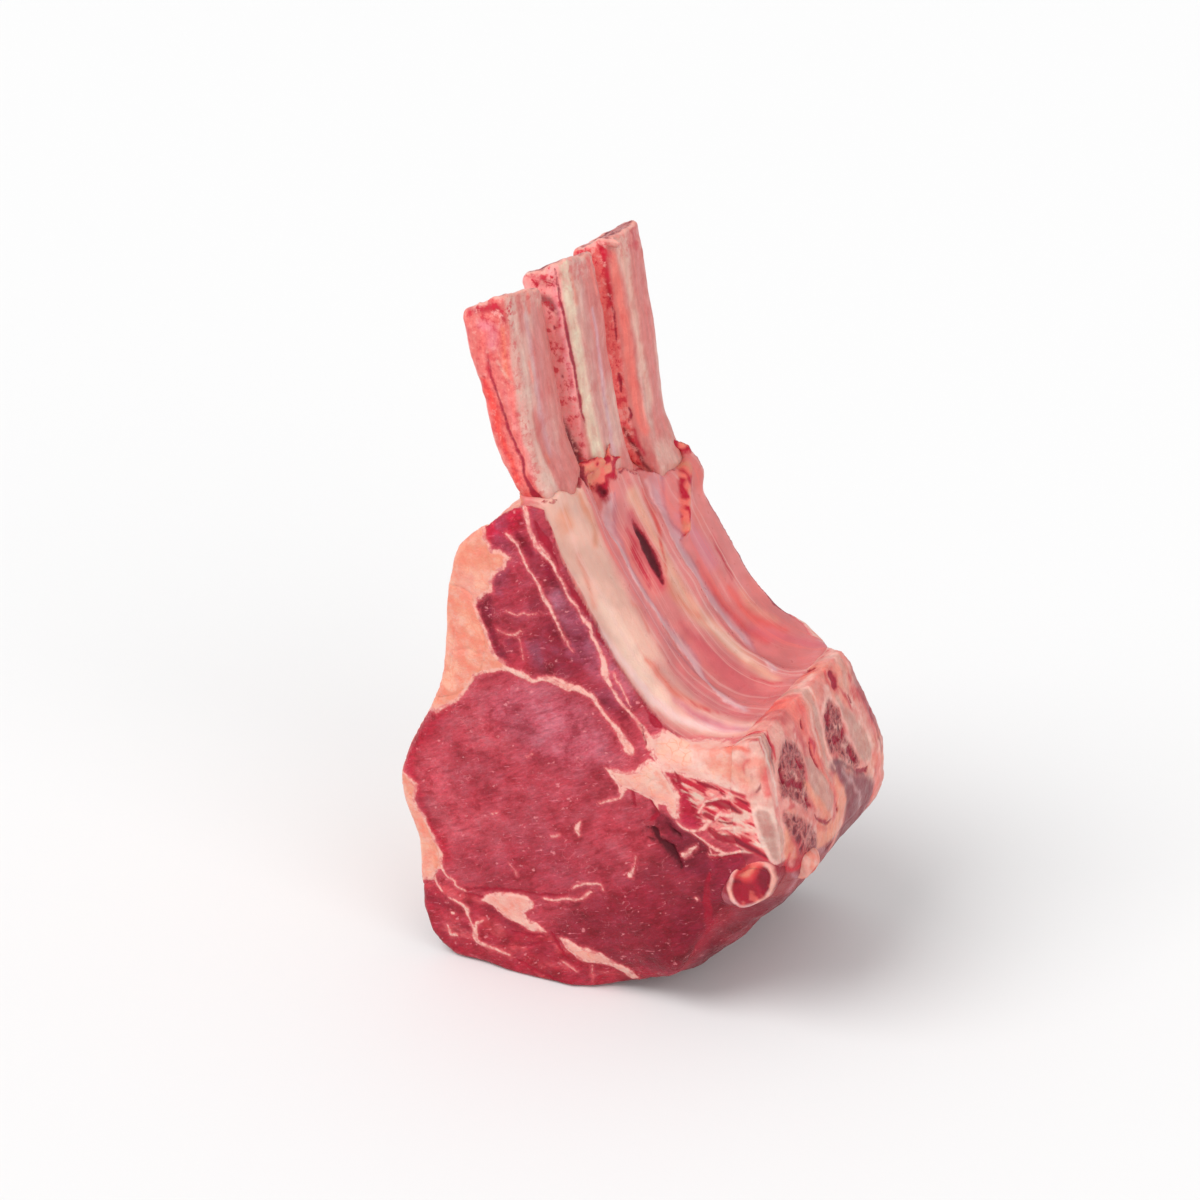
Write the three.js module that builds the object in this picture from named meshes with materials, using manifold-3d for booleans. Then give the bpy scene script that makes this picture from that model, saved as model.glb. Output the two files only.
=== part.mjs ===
// Raw beef rib roast on three long, frenched ribs, standing on its back side.
// Units are millimetres, +Z is up, X runs from the outer (fat) side to the backbone side,
// and Y runs from the front cut face to the rear cut face.
import * as THREE from "three";
import { mergeVertices } from "three/addons/utils/BufferGeometryUtils.js";
import Module from "manifold-3d";

const wasm = await Module();
wasm.setup();

// ---- driving dimensions -------------------------------------------------------------

const DEPTH = 132; // front cut face to rear cut face, at the ribs
const GAP = 0.3; // clearance between touching pieces
const FAR = 400; // reaches past the whole roast, for cutting

// Outline of the cut face in [x, z], stretch by stretch. What it has below Z = 0 is pressed flat.
const PLATE_END = [[2, 235], [-12, 234], [-24, 224]];
const FAT_SIDE = [[-39, 210], [-45, 190], [-48, 160], [-51, 138], [-62, 115], [-71, 92], [-70, 76],
  [-64, 58], [-63, 33], [-58, 10]];
const UNDERSIDE = [[-46, 0.5], [-25, -1], [5, -1], [24, -1], [38, 3.5], [55, 12], [66, 20]];
const MIDLINE = [[76, 41], [88, 58], [104, 68]];
const CHINE = [[114, 88], [113, 108], [108, 130], [103, 147]];
const PLEURA = [[91, 141], [78, 137], [65, 140], [54, 148], [42, 161], [31, 178], [20, 195], [10, 213]];
const OUTLINE = [...PLATE_END, ...FAT_SIDE, ...UNDERSIDE, ...MIDLINE, ...CHINE, ...PLEURA];
const POINTS_PER_SPAN = 2;
const CENTRE = new THREE.Vector2(5, 100); // every swelling of the outline is measured from here

// Heights of the domed cut faces over the share of the outline that a ring spans.
const FACE_RINGS = [[0.34, 3.8], [0.6, 3.2], [0.8, 1.8], [0.91, 0.8], [0.975, 0.1]];
const FACE_DOME = 4;
const SIDE_CROWN = 3; // swelling of the outer side, halfway along the depth
const EDGE_ROUNDING = 2.2;
const EDGE_SHARE_POWER = 8; // keeps what is done to the edge of a face away from its middle

// Where the front face lies further back: under the backbone, and at the foot of the midline.
const SETBACKS = [
  { depth: 5, x: [72, 96], z: [106, 72] },
  { depth: 8, x: [14, 34], z: [26, 2] },
];

// Ribs: the inner side in [x, z] from the sawn end to the head, and tables over its length.
const RIB_INNER = [[-14, 330], [-11, 308], [-7, 285], [-3.5, 260], [1.5, 236], [9, 217], [20, 197],
  [31.5, 179.5], [44, 161], [55, 149.5], [67, 142.5], [80, 139.5], [90, 139]];
const RIB_THICKNESS = [[0, 22.5], [0.14, 22.5], [0.27, 18.5], [0.4, 16.5], [0.6, 14], [0.85, 13], [1, 15]];
const RIB_WIDTH = [[0, 36], [0.12, 37], [0.3, 36], [0.42, 34], [0.6, 29], [0.85, 25], [1, 23]];
const RIB_RINGS = 28;
const RIB_SIDES = 20;
const RIB_SQUARENESS = 4; // 2 is an ellipse
const RIB_REAR_TAPER = 0.5; // the outer side slopes in towards the thin rear edge
// Per rib: its rear edge in Y, how far its bare end leans, and height and slopes of its sawn top.
const RIBS = [
  { rear: 46, size: 1.06, lean: -5, top: 322.5, slopeX: 0.45, slopeY: -0.25 },
  { rear: 87, size: 1, lean: 0, top: 325, slopeX: 0.43, slopeY: -0.16 },
  { rear: 130.8, size: 0.97, lean: 1.5, top: 323.5, slopeX: 0.42, slopeY: 0 },
];
const RIB_REAR_COVER = 1.2; // least meat behind the last rib
const SAWN_TOP_X = -20; // where the height of a sawn top is measured
const SAWN_REACH = 0.15; // share of the rib's length over which the rings tilt to its sawn top
const LEAN_HEIGHTS = [232, 262];
const VALLEYS = [54, 96]; // middle in Y of the meat between two ribs
const VALLEY_HALF_WIDTH = 11;
const VALLEY_DEPTH = 2.6;

// The sawn backbone: its region in [x, z], and where its slices begin and end in Y.
const CHINE_REGION = [[93, 170], [92, 120], [95, 98], [101, 84], [110, 74], [150, 70], [150, 170]];
const CHINE_REAR = [[78, 121], [103, 116], [130, 105], [150, 98]]; // rear end in Y over Z
const REAR_SLOPE_X = [70, 104]; // where the rear slope along the backbone begins and is complete
const DISC_THICKNESS = 3.6;
const VERTEBRA_PITCH = 46;
const FRONT_DISC = 6;

// Stubs of the feather bones: middle, half sizes along and across, tilt, and ends in Y.
const FEATHER_BONES = [
  { x: 101, z: 75, long: 17, short: 9.5, tilt: 45, from: -1, to: 20 },
  { x: 117, z: 78, long: 5, short: 4.2, tilt: 80, from: 21, to: 32 },
];
const STUB_SIDES = 16;
const STUB_PROFILE = [[0, 0.78], [0.06, 0.93], [0.16, 1], [0.8, 0.95], [1, 0.7]]; // size over length

// A scrap of trimmings that hangs over the last rib: points in [x, y, z] and their radii.
const SCRAP_ARCH = [[3, 131, 207, 4], [8, 131, 212, 5], [14, 130, 208, 5], [17.5, 128, 198, 3]];
const SCRAP_TAIL = [[9, 130, 211, 4], [13.5, 122, 210, 3.5], [18, 111, 201, 3], [25, 97, 190, 2]];
const SCRAP_SIDES = 8;
const SCRAP_RINGS = 7;
const SCRAP_END_SIZE = 0.6;

// Fat cap: the border between fat and muscle in [x, z], above and below the bare muscle.
const UPPER_FAT_BORDER = [[-29, 236], [-25, 212], [-23, 196], [-29, 181], [-25, 166], [-31, 148],
  [-44, 137], [-56, 132]];
const LOWER_FAT_BORDER = [[-76, 84], [-66, 80], [-58, 65], [-53, 52], [-56, 40], [-68, 30]];
const BORDER_STEPS = 3; // straight pieces per point of a border

// ---- helpers --------------------------------------------------------------------------

const clamp01 = (v) => Math.min(1, Math.max(0, v));
const smooth = (from, to, v) => {
  const t = clamp01((v - from) / (to - from));
  return t * t * (3 - 2 * t);
};

// Reads a value from a short table of [place, value] rows, with straight lines between them.
function table(rows, place) {
  const next = rows.findIndex((row) => row[0] >= place);
  if (next <= 0) return rows[next === 0 ? 0 : rows.length - 1][1];
  const [a, va] = rows[next - 1];
  const [b, vb] = rows[next];
  return va + ((vb - va) * (place - a)) / (b - a);
}

function spline(points, closed) {
  const list = points.map(([x, z]) => new THREE.Vector3(x, 0, z));
  return new THREE.CatmullRomCurve3(list, closed, "centripetal");
}

// A closed skin over rings of equal length, with a point at each end.
function skin(rings, startPoint, endPoint) {
  const sides = rings[0].length;
  const positions = [startPoint, ...rings.flat(), endPoint].flatMap((p) => p.toArray());
  const at = (ring, side) => 1 + ring * sides + (side % sides);
  const last = rings.length - 1;
  const end = rings.length * sides + 1;
  const index = [];
  for (let side = 0; side < sides; side++) {
    index.push(0, at(0, side), at(0, side + 1));
    for (let ring = 0; ring < last; ring++) {
      const [a, b] = [at(ring, side), at(ring, side + 1)];
      const [c, d] = [at(ring + 1, side + 1), at(ring + 1, side)];
      index.push(a, c, b, a, d, c);
    }
    index.push(end, at(last, side + 1), at(last, side));
  }
  const geometry = new THREE.BufferGeometry();
  geometry.setAttribute("position", new THREE.Float32BufferAttribute(positions, 3));
  geometry.setIndex(index);
  return geometry;
}

function toSolid(geometry) {
  const bare = geometry.clone();
  bare.deleteAttribute("normal");
  bare.deleteAttribute("uv");
  const merged = mergeVertices(bare, 1e-4);
  const mesh = new wasm.Mesh({
    numProp: 3,
    vertProperties: new Float32Array(merged.attributes.position.array),
    triVerts: new Uint32Array(merged.index.array),
  });
  return new wasm.Manifold(mesh);
}

function toGeometry(solid) {
  const mesh = solid.getMesh();
  const geometry = new THREE.BufferGeometry();
  const positions = new Float32Array(mesh.vertProperties);
  geometry.setAttribute("position", new THREE.BufferAttribute(positions, 3));
  geometry.setIndex([...mesh.triVerts]);
  return geometry;
}

// A prism along Y with the [x, z] outline given.
function prism(outline, from, to) {
  const shape = new THREE.Shape(outline.map(([x, z]) => new THREE.Vector2(x, z)));
  const geometry = new THREE.ExtrudeGeometry(shape, { depth: to - from, bevelEnabled: false });
  geometry.rotateX(Math.PI / 2);
  geometry.translate(0, to, 0);
  return toSolid(geometry);
}

// ---- the whole block of meat, fat and backbone ------------------------------------------

const count = (...stretches) => stretches.reduce((sum, points) => sum + points.length, 0);
const UNDERSIDE_START = count(PLATE_END, FAT_SIDE);
const MIDLINE_START = count(PLATE_END, FAT_SIDE, UNDERSIDE);
const PLEURA_START = count(PLATE_END, FAT_SIDE, UNDERSIDE, MIDLINE, CHINE);

// Swelling of the midline side behind the front edge, over places of the outline from its start.
const MIDLINE_SWELLING = [[-2, 0], [-1, 6], [0, 15], [1, 17], [2, 11], [3, 5], [4, 3], [6, 0]];
const BEHIND_EDGE = [3, 24]; // where in Y that swelling begins and is complete

// Behind the front cut face the thin end is lower and trimmed back towards the outer side.
const PLATE_DROP = [[-1.5, 0], [0, -9], [1, -11], [2, -7], [3.5, 0]];
const PLATE_NOTCH = [[-1.6, 0], [-0.6, 7], [1, 7], [2.5, 0]];
const BEHIND_PLATE = [3, 12];

const aroundTop = (place) => (place > OUTLINE.length / 2 ? place - OUTLINE.length : place);

function swelling(place, y) {
  const midline = table(MIDLINE_SWELLING, place - MIDLINE_START) * smooth(...BEHIND_EDGE, y);
  const plate = table(PLATE_DROP, aroundTop(place)) * smooth(...BEHIND_PLATE, y);
  const onOuterSide = smooth(1, 4, place) * smooth(UNDERSIDE_START, UNDERSIDE_START - 2, place);
  const crown = SIDE_CROWN * onOuterSide * Math.sin(Math.PI * clamp01(y / DEPTH));
  const onPleura = smooth(PLEURA_START, PLEURA_START + 1.5, place);
  const fromValley = Math.min(...VALLEYS.map((middle) => Math.abs(y - middle)));
  const valley = VALLEY_DEPTH * (1 - smooth(0, VALLEY_HALF_WIDTH, fromValley)) * onPleura;
  return midline + plate + crown - valley;
}

const rearY = (x, z) => DEPTH - (DEPTH - table(CHINE_REAR, z)) * smooth(...REAR_SLOPE_X, x);
const setback = (area, x, z) => area.depth * smooth(...area.x, x) * smooth(...area.z, z);
const frontY = (x, z) => SETBACKS.reduce((sum, area) => sum + setback(area, x, z), 0);

// Where the block has rings besides those of the valleys, from the front and from the rear.
const FRONT_DEPTHS = [2, 8, 16, 29];
const REAR_DEPTHS = [12, 2];

const outlineCurve = spline(OUTLINE, true);
const outlineSteps = OUTLINE.length * POINTS_PER_SPAN;

// One ring of the block: share of the outline's size, share of the depth, and dome height.
function blockRing(share, depthShare, inset, dome) {
  return Array.from({ length: outlineSteps }, (_, step) => {
    const flat = outlineCurve.getPoint(step / outlineSteps);
    const place = step / POINTS_PER_SPAN;
    const edge = share ** EDGE_SHARE_POWER;
    const near = frontY(flat.x, flat.z) * edge;
    const far = rearY(CENTRE.x + (flat.x - CENTRE.x) * share, CENTRE.y + (flat.z - CENTRE.y) * share);
    const y = near + (far - near) * depthShare;
    const out = new THREE.Vector2(flat.x, flat.z).sub(CENTRE);
    const length = out.length();
    out.multiplyScalar((share * (length + swelling(place, y) - inset)) / length);
    const z = Math.max(0, CENTRE.y + out.y);
    const notch = table(PLATE_NOTCH, aroundTop(place)) * smooth(...BEHIND_PLATE, y) * edge;
    return new THREE.Vector3(CENTRE.x + out.x - notch, y + dome, z);
  });
}

function block() {
  const valleys = VALLEYS.flatMap((y) => [y - VALLEY_HALF_WIDTH, y, y + VALLEY_HALF_WIDTH]);
  const depths = [...FRONT_DEPTHS, ...valleys, ...REAR_DEPTHS.map((fromRear) => DEPTH - fromRear)];
  const rings = [
    ...FACE_RINGS.map(([share, height]) => blockRing(share, 0, EDGE_ROUNDING, -height)),
    blockRing(1, 0, EDGE_ROUNDING, 0),
    ...depths.map((depth) => blockRing(1, depth / DEPTH, 0, 0)),
    blockRing(1, 1, EDGE_ROUNDING, 0),
    ...FACE_RINGS.toReversed().map(([share, height]) => blockRing(share, 1, EDGE_ROUNDING, height)),
  ];
  const front = new THREE.Vector3(CENTRE.x, -FACE_DOME, CENTRE.y);
  const rear = new THREE.Vector3(CENTRE.x, DEPTH + FACE_DOME, CENTRE.y);
  return toSolid(skin(rings, front, rear));
}

// ---- ribs -------------------------------------------------------------------------------

const ribCurve = spline(RIB_INNER, false);

// Points of a rounded, nearly rectangular section, as shares of its half sizes.
function ribSection() {
  return Array.from({ length: RIB_SIDES }, (_, side) => {
    const angle = (-side / RIB_SIDES) * 2 * Math.PI;
    const power = 2 / RIB_SQUARENESS;
    const along = Math.sign(Math.cos(angle)) * Math.abs(Math.cos(angle)) ** power;
    const out = Math.sign(Math.sin(angle)) * Math.abs(Math.sin(angle)) ** power;
    const taper = out < 0 ? 1 - RIB_REAR_TAPER * smooth(-0.6, 1, along) : 1;
    return [along, out * taper];
  });
}

function ribRing(rib, share, grow) {
  const inner = ribCurve.getPointAt(share);
  const tangent = ribCurve.getTangentAt(share);
  const toCavity = new THREE.Vector3(-tangent.z, 0, tangent.x);
  const halfThick = (table(RIB_THICKNESS, share) * rib.size) / 2;
  const halfWide = (table(RIB_WIDTH, share) * rib.size) / 2;
  const centre = inner.clone().addScaledVector(toCavity, -halfThick);
  centre.x += rib.lean * smooth(...LEAN_HEIGHTS, inner.z);
  centre.y = Math.min(rib.rear, rearY(inner.x, inner.z) - RIB_REAR_COVER) - halfWide;
  return ribSection().map(([along, out]) => {
    const point = centre.clone().addScaledVector(toCavity, out * (halfThick + grow));
    point.y += along * (halfWide + grow);
    return point;
  });
}

// Slides the points near the bare end along Z, so that the first ring lies on the sloping sawn top.
function towardsSawnTop(rib, ring, share) {
  const weight = clamp01(1 - share / SAWN_REACH);
  const middleY = rib.rear - RIB_WIDTH[0][1] / 2;
  return ring.map((point) => {
    const slope = rib.slopeX * (point.x - SAWN_TOP_X) + rib.slopeY * (point.y - middleY);
    const slide = (rib.top + slope - RIB_INNER[0][1]) * weight;
    return new THREE.Vector3(point.x, point.y, point.z + slide);
  });
}

function middleOf(ring) {
  const sum = ring.reduce((total, point) => total.add(point), new THREE.Vector3());
  return sum.divideScalar(ring.length);
}

function ribSolid(rib, grow) {
  const shares = Array.from({ length: RIB_RINGS }, (_, i) => i / (RIB_RINGS - 1));
  const rings = shares.map((share) => towardsSawnTop(rib, ribRing(rib, share, grow), share));
  const last = rings[rings.length - 1];
  return toSolid(skin(rings, middleOf(rings[0]), middleOf(last)));
}

// ---- backbone and fat -------------------------------------------------------------------

// Start and end in Y of each slice of the backbone: discs and vertebrae by turns.
function chineSlices() {
  return RIBS.flatMap((rib, i) => {
    const start = FRONT_DISC + i * VERTEBRA_PITCH;
    const discStart = i === 0 ? -FAR : start - DISC_THICKNESS;
    const end = i === RIBS.length - 1 ? FAR : start + VERTEBRA_PITCH - DISC_THICKNESS - GAP;
    return [
      { name: `disc_${i + 1}`, from: discStart, to: start },
      { name: `vertebra_${i + 1}`, from: start + GAP, to: end },
    ];
  });
}

// The fat side of a border, which a gap may move towards the muscle.
function fatRegion(border, gap) {
  const steps = border.length * BORDER_STEPS;
  const moved = spline(border, false)
    .getPoints(steps)
    .map((point, i) => [point.x + gap, point.z + gap * (1 - (2 * i) / steps)]);
  return prism([[-FAR, moved[0][1]], ...moved, [-FAR, moved[steps][1]]], -FAR, FAR);
}

// ---- feather bones and scrap ----------------------------------------------------------------

// A stub with rounded ends: rings of an ellipse that stands in the XZ plane.
function stubSolid(bone, grow) {
  const tilt = THREE.MathUtils.degToRad(bone.tilt);
  const rings = STUB_PROFILE.map(([share, size]) => {
    const y = bone.from - grow + (bone.to - bone.from + 2 * grow) * share;
    return Array.from({ length: STUB_SIDES }, (_, side) => {
      const angle = (side / STUB_SIDES) * 2 * Math.PI;
      const point = new THREE.Vector2(
        (bone.long * size + grow) * Math.cos(angle),
        (bone.short * size + grow) * Math.sin(angle),
      );
      point.rotateAround(new THREE.Vector2(), tilt);
      return new THREE.Vector3(bone.x + point.x, y, bone.z + point.y);
    });
  });
  return toSolid(skin(rings, middleOf(rings[0]), middleOf(rings[rings.length - 1])));
}

// A soft strand through points that each have a radius.
function strandSolid(points) {
  const curve = new THREE.CatmullRomCurve3(points.map(([x, y, z]) => new THREE.Vector3(x, y, z)));
  const radii = points.map((point, i) => [i / (points.length - 1), point[3]]);
  const frames = curve.computeFrenetFrames(SCRAP_RINGS - 1);
  const rings = frames.tangents.map((_, i) => {
    const share = i / (SCRAP_RINGS - 1);
    const radius = table(radii, share) * (i % (SCRAP_RINGS - 1) === 0 ? SCRAP_END_SIZE : 1);
    return Array.from({ length: SCRAP_SIDES }, (_unused, side) => {
      const angle = (-side / SCRAP_SIDES) * 2 * Math.PI;
      return curve
        .getPointAt(share)
        .addScaledVector(frames.normals[i], radius * Math.cos(angle))
        .addScaledVector(frames.binormals[i], radius * Math.sin(angle));
    });
  });
  return toSolid(skin(rings, middleOf(rings[0]), middleOf(rings[rings.length - 1])));
}

// ---- putting it together ------------------------------------------------------------------

const COLOURS = {
  meat: { color: 0x9c2f3f, roughness: 0.45 },
  fat: { color: 0xe9a896, roughness: 0.5 },
  bone: { color: 0xd9a8a0, roughness: 0.4 },
  cartilage: { color: 0xc8b4ac, roughness: 0.45 },
};

const roast = new THREE.Group();

function add(name, solid, look) {
  const material = new THREE.MeshStandardMaterial({ ...COLOURS[look], metalness: 0 });
  const mesh = new THREE.Mesh(toGeometry(solid), material);
  mesh.name = name;
  roast.add(mesh);
}

const whole = block();
let meat = whole.add(strandSolid(SCRAP_ARCH)).add(strandSolid(SCRAP_TAIL));
for (const rib of RIBS) meat = meat.subtract(ribSolid(rib, GAP));
for (const bone of FEATHER_BONES) meat = meat.subtract(stubSolid(bone, GAP));
for (const border of [UPPER_FAT_BORDER, LOWER_FAT_BORDER]) meat = meat.subtract(fatRegion(border, GAP));
const chineRoom = CHINE_REGION.map(([x, z]) => [x - GAP, z - GAP]);
meat = meat.subtract(prism(chineRoom, -FAR, FAR));
add("meat", meat, "meat");

add("fat_cap_upper", whole.intersect(fatRegion(UPPER_FAT_BORDER, 0)), "fat");
add("fat_cap_lower", whole.intersect(fatRegion(LOWER_FAT_BORDER, 0)), "fat");

RIBS.forEach((rib, i) => add(`rib_${i + 1}`, ribSolid(rib, 0), "bone"));

for (const slice of chineSlices()) {
  let bone = whole.intersect(prism(CHINE_REGION, slice.from, slice.to));
  for (const rib of RIBS) bone = bone.subtract(ribSolid(rib, GAP));
  for (const stub of FEATHER_BONES) bone = bone.subtract(stubSolid(stub, GAP));
  add(slice.name, bone, slice.name.startsWith("disc") ? "cartilage" : "bone");
}

FEATHER_BONES.forEach((bone, i) => add(`feather_bone_${i + 1}`, stubSolid(bone, 0), "bone"));

// The origin is on the table, under the middle of the roast's box.
const box = new THREE.Box3().setFromObject(roast);
const middle = box.getCenter(new THREE.Vector3());
roast.position.set(-middle.x, -middle.y, -box.min.z);

export default roast;
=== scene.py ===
"""Raw beef rib roast on three long ribs: the visual model, its materials, light and camera.

All shapes are drawn in millimetres: X runs from the fat side to the backbone, Y from the front cut
face to the rear one, and Z up from the table.
"""

import math

import bpy
import numpy as np
import openvdb as vdb
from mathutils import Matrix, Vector


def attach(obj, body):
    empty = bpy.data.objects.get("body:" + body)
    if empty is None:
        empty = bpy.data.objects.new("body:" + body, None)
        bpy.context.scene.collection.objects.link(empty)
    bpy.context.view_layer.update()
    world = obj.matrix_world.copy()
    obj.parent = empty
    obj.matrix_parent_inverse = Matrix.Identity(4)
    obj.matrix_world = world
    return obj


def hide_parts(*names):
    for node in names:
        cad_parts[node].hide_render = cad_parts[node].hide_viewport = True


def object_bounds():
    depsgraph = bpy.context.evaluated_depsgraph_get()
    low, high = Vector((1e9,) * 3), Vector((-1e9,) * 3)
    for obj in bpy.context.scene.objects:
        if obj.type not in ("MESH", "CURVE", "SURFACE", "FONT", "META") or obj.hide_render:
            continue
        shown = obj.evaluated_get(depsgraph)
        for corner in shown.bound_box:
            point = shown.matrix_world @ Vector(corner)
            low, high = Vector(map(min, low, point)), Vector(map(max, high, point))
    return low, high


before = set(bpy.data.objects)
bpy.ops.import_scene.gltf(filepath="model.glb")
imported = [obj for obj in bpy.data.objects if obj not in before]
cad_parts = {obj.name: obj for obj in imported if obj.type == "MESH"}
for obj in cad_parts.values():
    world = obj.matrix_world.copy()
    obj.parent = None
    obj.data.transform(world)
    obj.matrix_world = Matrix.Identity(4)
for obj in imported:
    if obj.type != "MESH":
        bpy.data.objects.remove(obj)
cad_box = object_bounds()

DRAWING_CORNER = np.array([-74.2, -4.0, 0.0])  # low corner of the roast's box in the drawing
ORIGIN = DRAWING_CORNER - np.array(cad_box[0]) * 1000  # what is added to the frame's millimetres
DEPTH = 132.0  # front cut face to rear cut face
FACE_REACH = 14.0  # how far behind a cut face its drawing still colours the sides
FLOOR_GAP = 0.05  # height of the lowest points over the table
FAR = 9.0  # a distance past the reach of every mark
COARSE = 1.0

# ---- numbers and noise --------------------------------------------------------------------


def smooth(low, high, v):
    t = np.clip((v - low) / (high - low), 0.0, 1.0)
    return t * t * (3 - 2 * t)


def mix(a, b, share):
    return a + (b - a) * share


def lattice(cell, seed):
    """Random numbers from -1 to 1, the same for the same whole-numbered place."""
    h = cell[:, 0] * 73856093 ^ cell[:, 1] * 19349663 ^ cell[:, 2] * 83492791 ^ seed * 2654435761
    h = (h ^ (h >> 13)) * 1274126177 & 0xFFFFFFFF
    h = (h ^ (h >> 15)) * 2246822519 & 0xFFFFFFFF
    return ((h ^ (h >> 16)) & 0xFFFF) / 32767.5 - 1


def noise(places, size, seed):
    """Smooth noise from -1 to 1 with lumps about size millimetres across."""
    p = places / size
    cell = np.floor(p).astype(np.int64)
    t = p - cell
    t = t * t * t * (t * (t * 6 - 15) + 10)
    total = np.zeros(len(p))
    for dx in (0, 1):
        for dy in (0, 1):
            for dz in (0, 1):
                corner = np.array([dx, dy, dz])
                share = np.prod(np.where(corner == 1, t, 1 - t), axis=1)
                total += share * lattice(cell + corner, seed)
    return total


def fractal(places, size, seed, octaves=3):
    total, scale = np.zeros(len(places)), 1.0
    for i in range(octaves):
        total += noise(places, size / 2**i, seed + 17 * i) * scale
        scale *= 0.5
    return total


# ---- lines and areas drawn on a face ------------------------------------------------------


def rounded(points, closed=False, steps=4):
    """A smooth curve through the points, each a row of numbers."""
    p = np.asarray(points, float)
    ends = (p[-1:], p[:2]) if closed else (p[:1], p[-1:])
    p = np.concatenate([ends[0], p, ends[1]])
    a, b, c, d = p[:-3], p[1:-2], p[2:-1], p[3:]
    t = np.linspace(0, 1, steps, endpoint=False)[:, None, None]
    curve = b + 0.5 * t * (c - a + t * (2 * a - 5 * b + 4 * c - d + t * (3 * (b - c) + d - a)))
    curve = curve.transpose(1, 0, 2).reshape(-1, p.shape[1])
    return curve if closed else np.concatenate([curve, p[-2:-1]])


def stroke(at, points, reach=14.0):
    """Distance in mm from a line of [u, v, half width] points, less than 0 inside its width."""
    line = rounded(points)
    result = np.full(len(at), reach)
    low, high = line[:, :2].min(0) - reach, line[:, :2].max(0) + reach
    near = np.flatnonzero(((at > low) & (at < high)).all(1))
    if not len(near):
        return result
    q, best = at[near], np.full(len(near), reach)
    for a, b in zip(line[:-1], line[1:]):
        along = b[:2] - a[:2]
        t = np.clip((q - a[:2]) @ along / max(along @ along, 1e-9), 0, 1)
        gap = np.hypot(*(q - a[:2] - t[:, None] * along).T) - mix(a[2], b[2], t)
        best = np.minimum(best, gap)
    result[near] = best
    return result


def area(at, points, corners=False):
    """Distance in mm from an outline of [u, v] points, less than 0 inside it."""
    line = np.asarray(points, float) if corners else rounded(points, closed=True)
    best, inside = np.full(len(at), 1e9), np.zeros(len(at), bool)
    for a, b in zip(line, np.roll(line, -1, axis=0)):
        along = b - a
        t = np.clip((at - a) @ along / max(along @ along, 1e-9), 0, 1)
        best = np.minimum(best, np.hypot(*(at - a - t[:, None] * along).T))
        if a[1] != b[1]:
            crosses = (a[1] > at[:, 1]) != (b[1] > at[:, 1])
            inside ^= crosses & (at[:, 0] < a[0] + (at[:, 1] - a[1]) * along[0] / along[1])
    return np.where(inside, -best, best)


def nearest(at, *lines):
    return np.minimum.reduce([stroke(at, line) for line in lines])


# ---- solids as fields of distances ----------------------------------------------------------

BAND = 7  # voxels on each side of a surface where distances are kept


def node_mesh(name):
    """Points in millimetres and triangles of a CAD node."""
    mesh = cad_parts[name].data
    mesh.calc_loop_triangles()
    points = np.zeros(len(mesh.vertices) * 3)
    mesh.vertices.foreach_get("co", points)
    triangles = np.zeros(len(mesh.loop_triangles) * 3, np.int32)
    mesh.loop_triangles.foreach_get("vertices", triangles)
    return points.reshape(-1, 3) * 1000 + ORIGIN, triangles.reshape(-1, 3).astype(np.uint32)


class Room:
    """A box of voxels that holds the named nodes, with some space around them."""

    def __init__(self, nodes, voxel, space=6.0):
        points = np.concatenate([node_mesh(n)[0] for n in nodes])
        self.voxel = voxel * COARSE
        self.transform = vdb.createLinearTransform(self.voxel)
        self.low = np.floor((points.min(0) - space) / self.voxel).astype(int)
        self.corner = tuple(int(v) for v in self.low)
        high = np.ceil((points.max(0) + space) / self.voxel).astype(int)
        self.shape = tuple(high - self.low)
        axes = [(np.arange(n) + low) * self.voxel for n, low in zip(self.shape, self.low)]
        self.x, self.y, self.z = np.meshgrid(*axes, indexing="ij", sparse=True)

    def field(self, points, **faces):
        """Distance to a closed surface, less than 0 inside it."""
        grid = vdb.FloatGrid.createLevelSetFromPolygons(
            points.astype(np.float32), transform=self.transform, halfWidth=BAND, **faces
        )
        result = np.zeros(self.shape, np.float32)
        grid.copyToArray(result, ijk=self.corner)
        return result

    def solid(self, name, grow=0.0):
        """Distance to a CAD node that is made larger by grow millimetres."""
        points, triangles = node_mesh(name)
        return self.field(points, triangles=triangles) - grow

    def roughen(self, field, size, amount, seed, share=None):
        """Field with lumps of size millimetres, amount high, on its surface, where share isn't 0."""
        near = np.abs(field) < 3 * self.voxel + amount
        places = (np.argwhere(near) + self.low) * self.voxel
        result = field.copy()
        lumps = amount * noise(places, size, seed)
        result[near] += lumps if share is None else lumps * np.broadcast_to(share, self.shape)[near]
        return result

    def distance(self, field, level):
        """Distance to the surface where the field has the value level, less than 0 inside."""
        points, triangles, quads = self.surface(field, level)
        return self.field(points, triangles=triangles, quads=quads)

    def closed(self, field, reach):
        """Field with the clefts filled that are up to twice reach millimetres wide."""
        return np.minimum(self.distance(field, reach) + reach, field)

    def rounded_off(self, field, radius):
        """Field with its sharp outer edges rounded to a radius in millimetres."""
        return np.maximum(self.distance(field, -radius) - radius, field)

    def surface(self, field, level=0.0):
        """Points, triangles and quads of the surface where the field has the value level."""
        grid = vdb.FloatGrid(float(BAND * self.voxel))
        grid.transform = self.transform
        grid.copyFromArray(field.astype(np.float32), ijk=self.corner)
        points, triangles, quads = grid.convertToPolygons(isovalue=level, adaptivity=0.0)
        return points.astype(float), triangles, quads


def merge(a, b, round_over):
    """Union of two fields, with a fillet about round_over millimetres wide."""
    h = np.clip(round_over - np.abs(a - b), 0, None) / round_over
    return np.minimum(a, b) - h * h * round_over / 4


def carve(a, b, round_over):
    """Field a with b taken away, with a rounded edge."""
    return -merge(-a, b, round_over)


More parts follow.
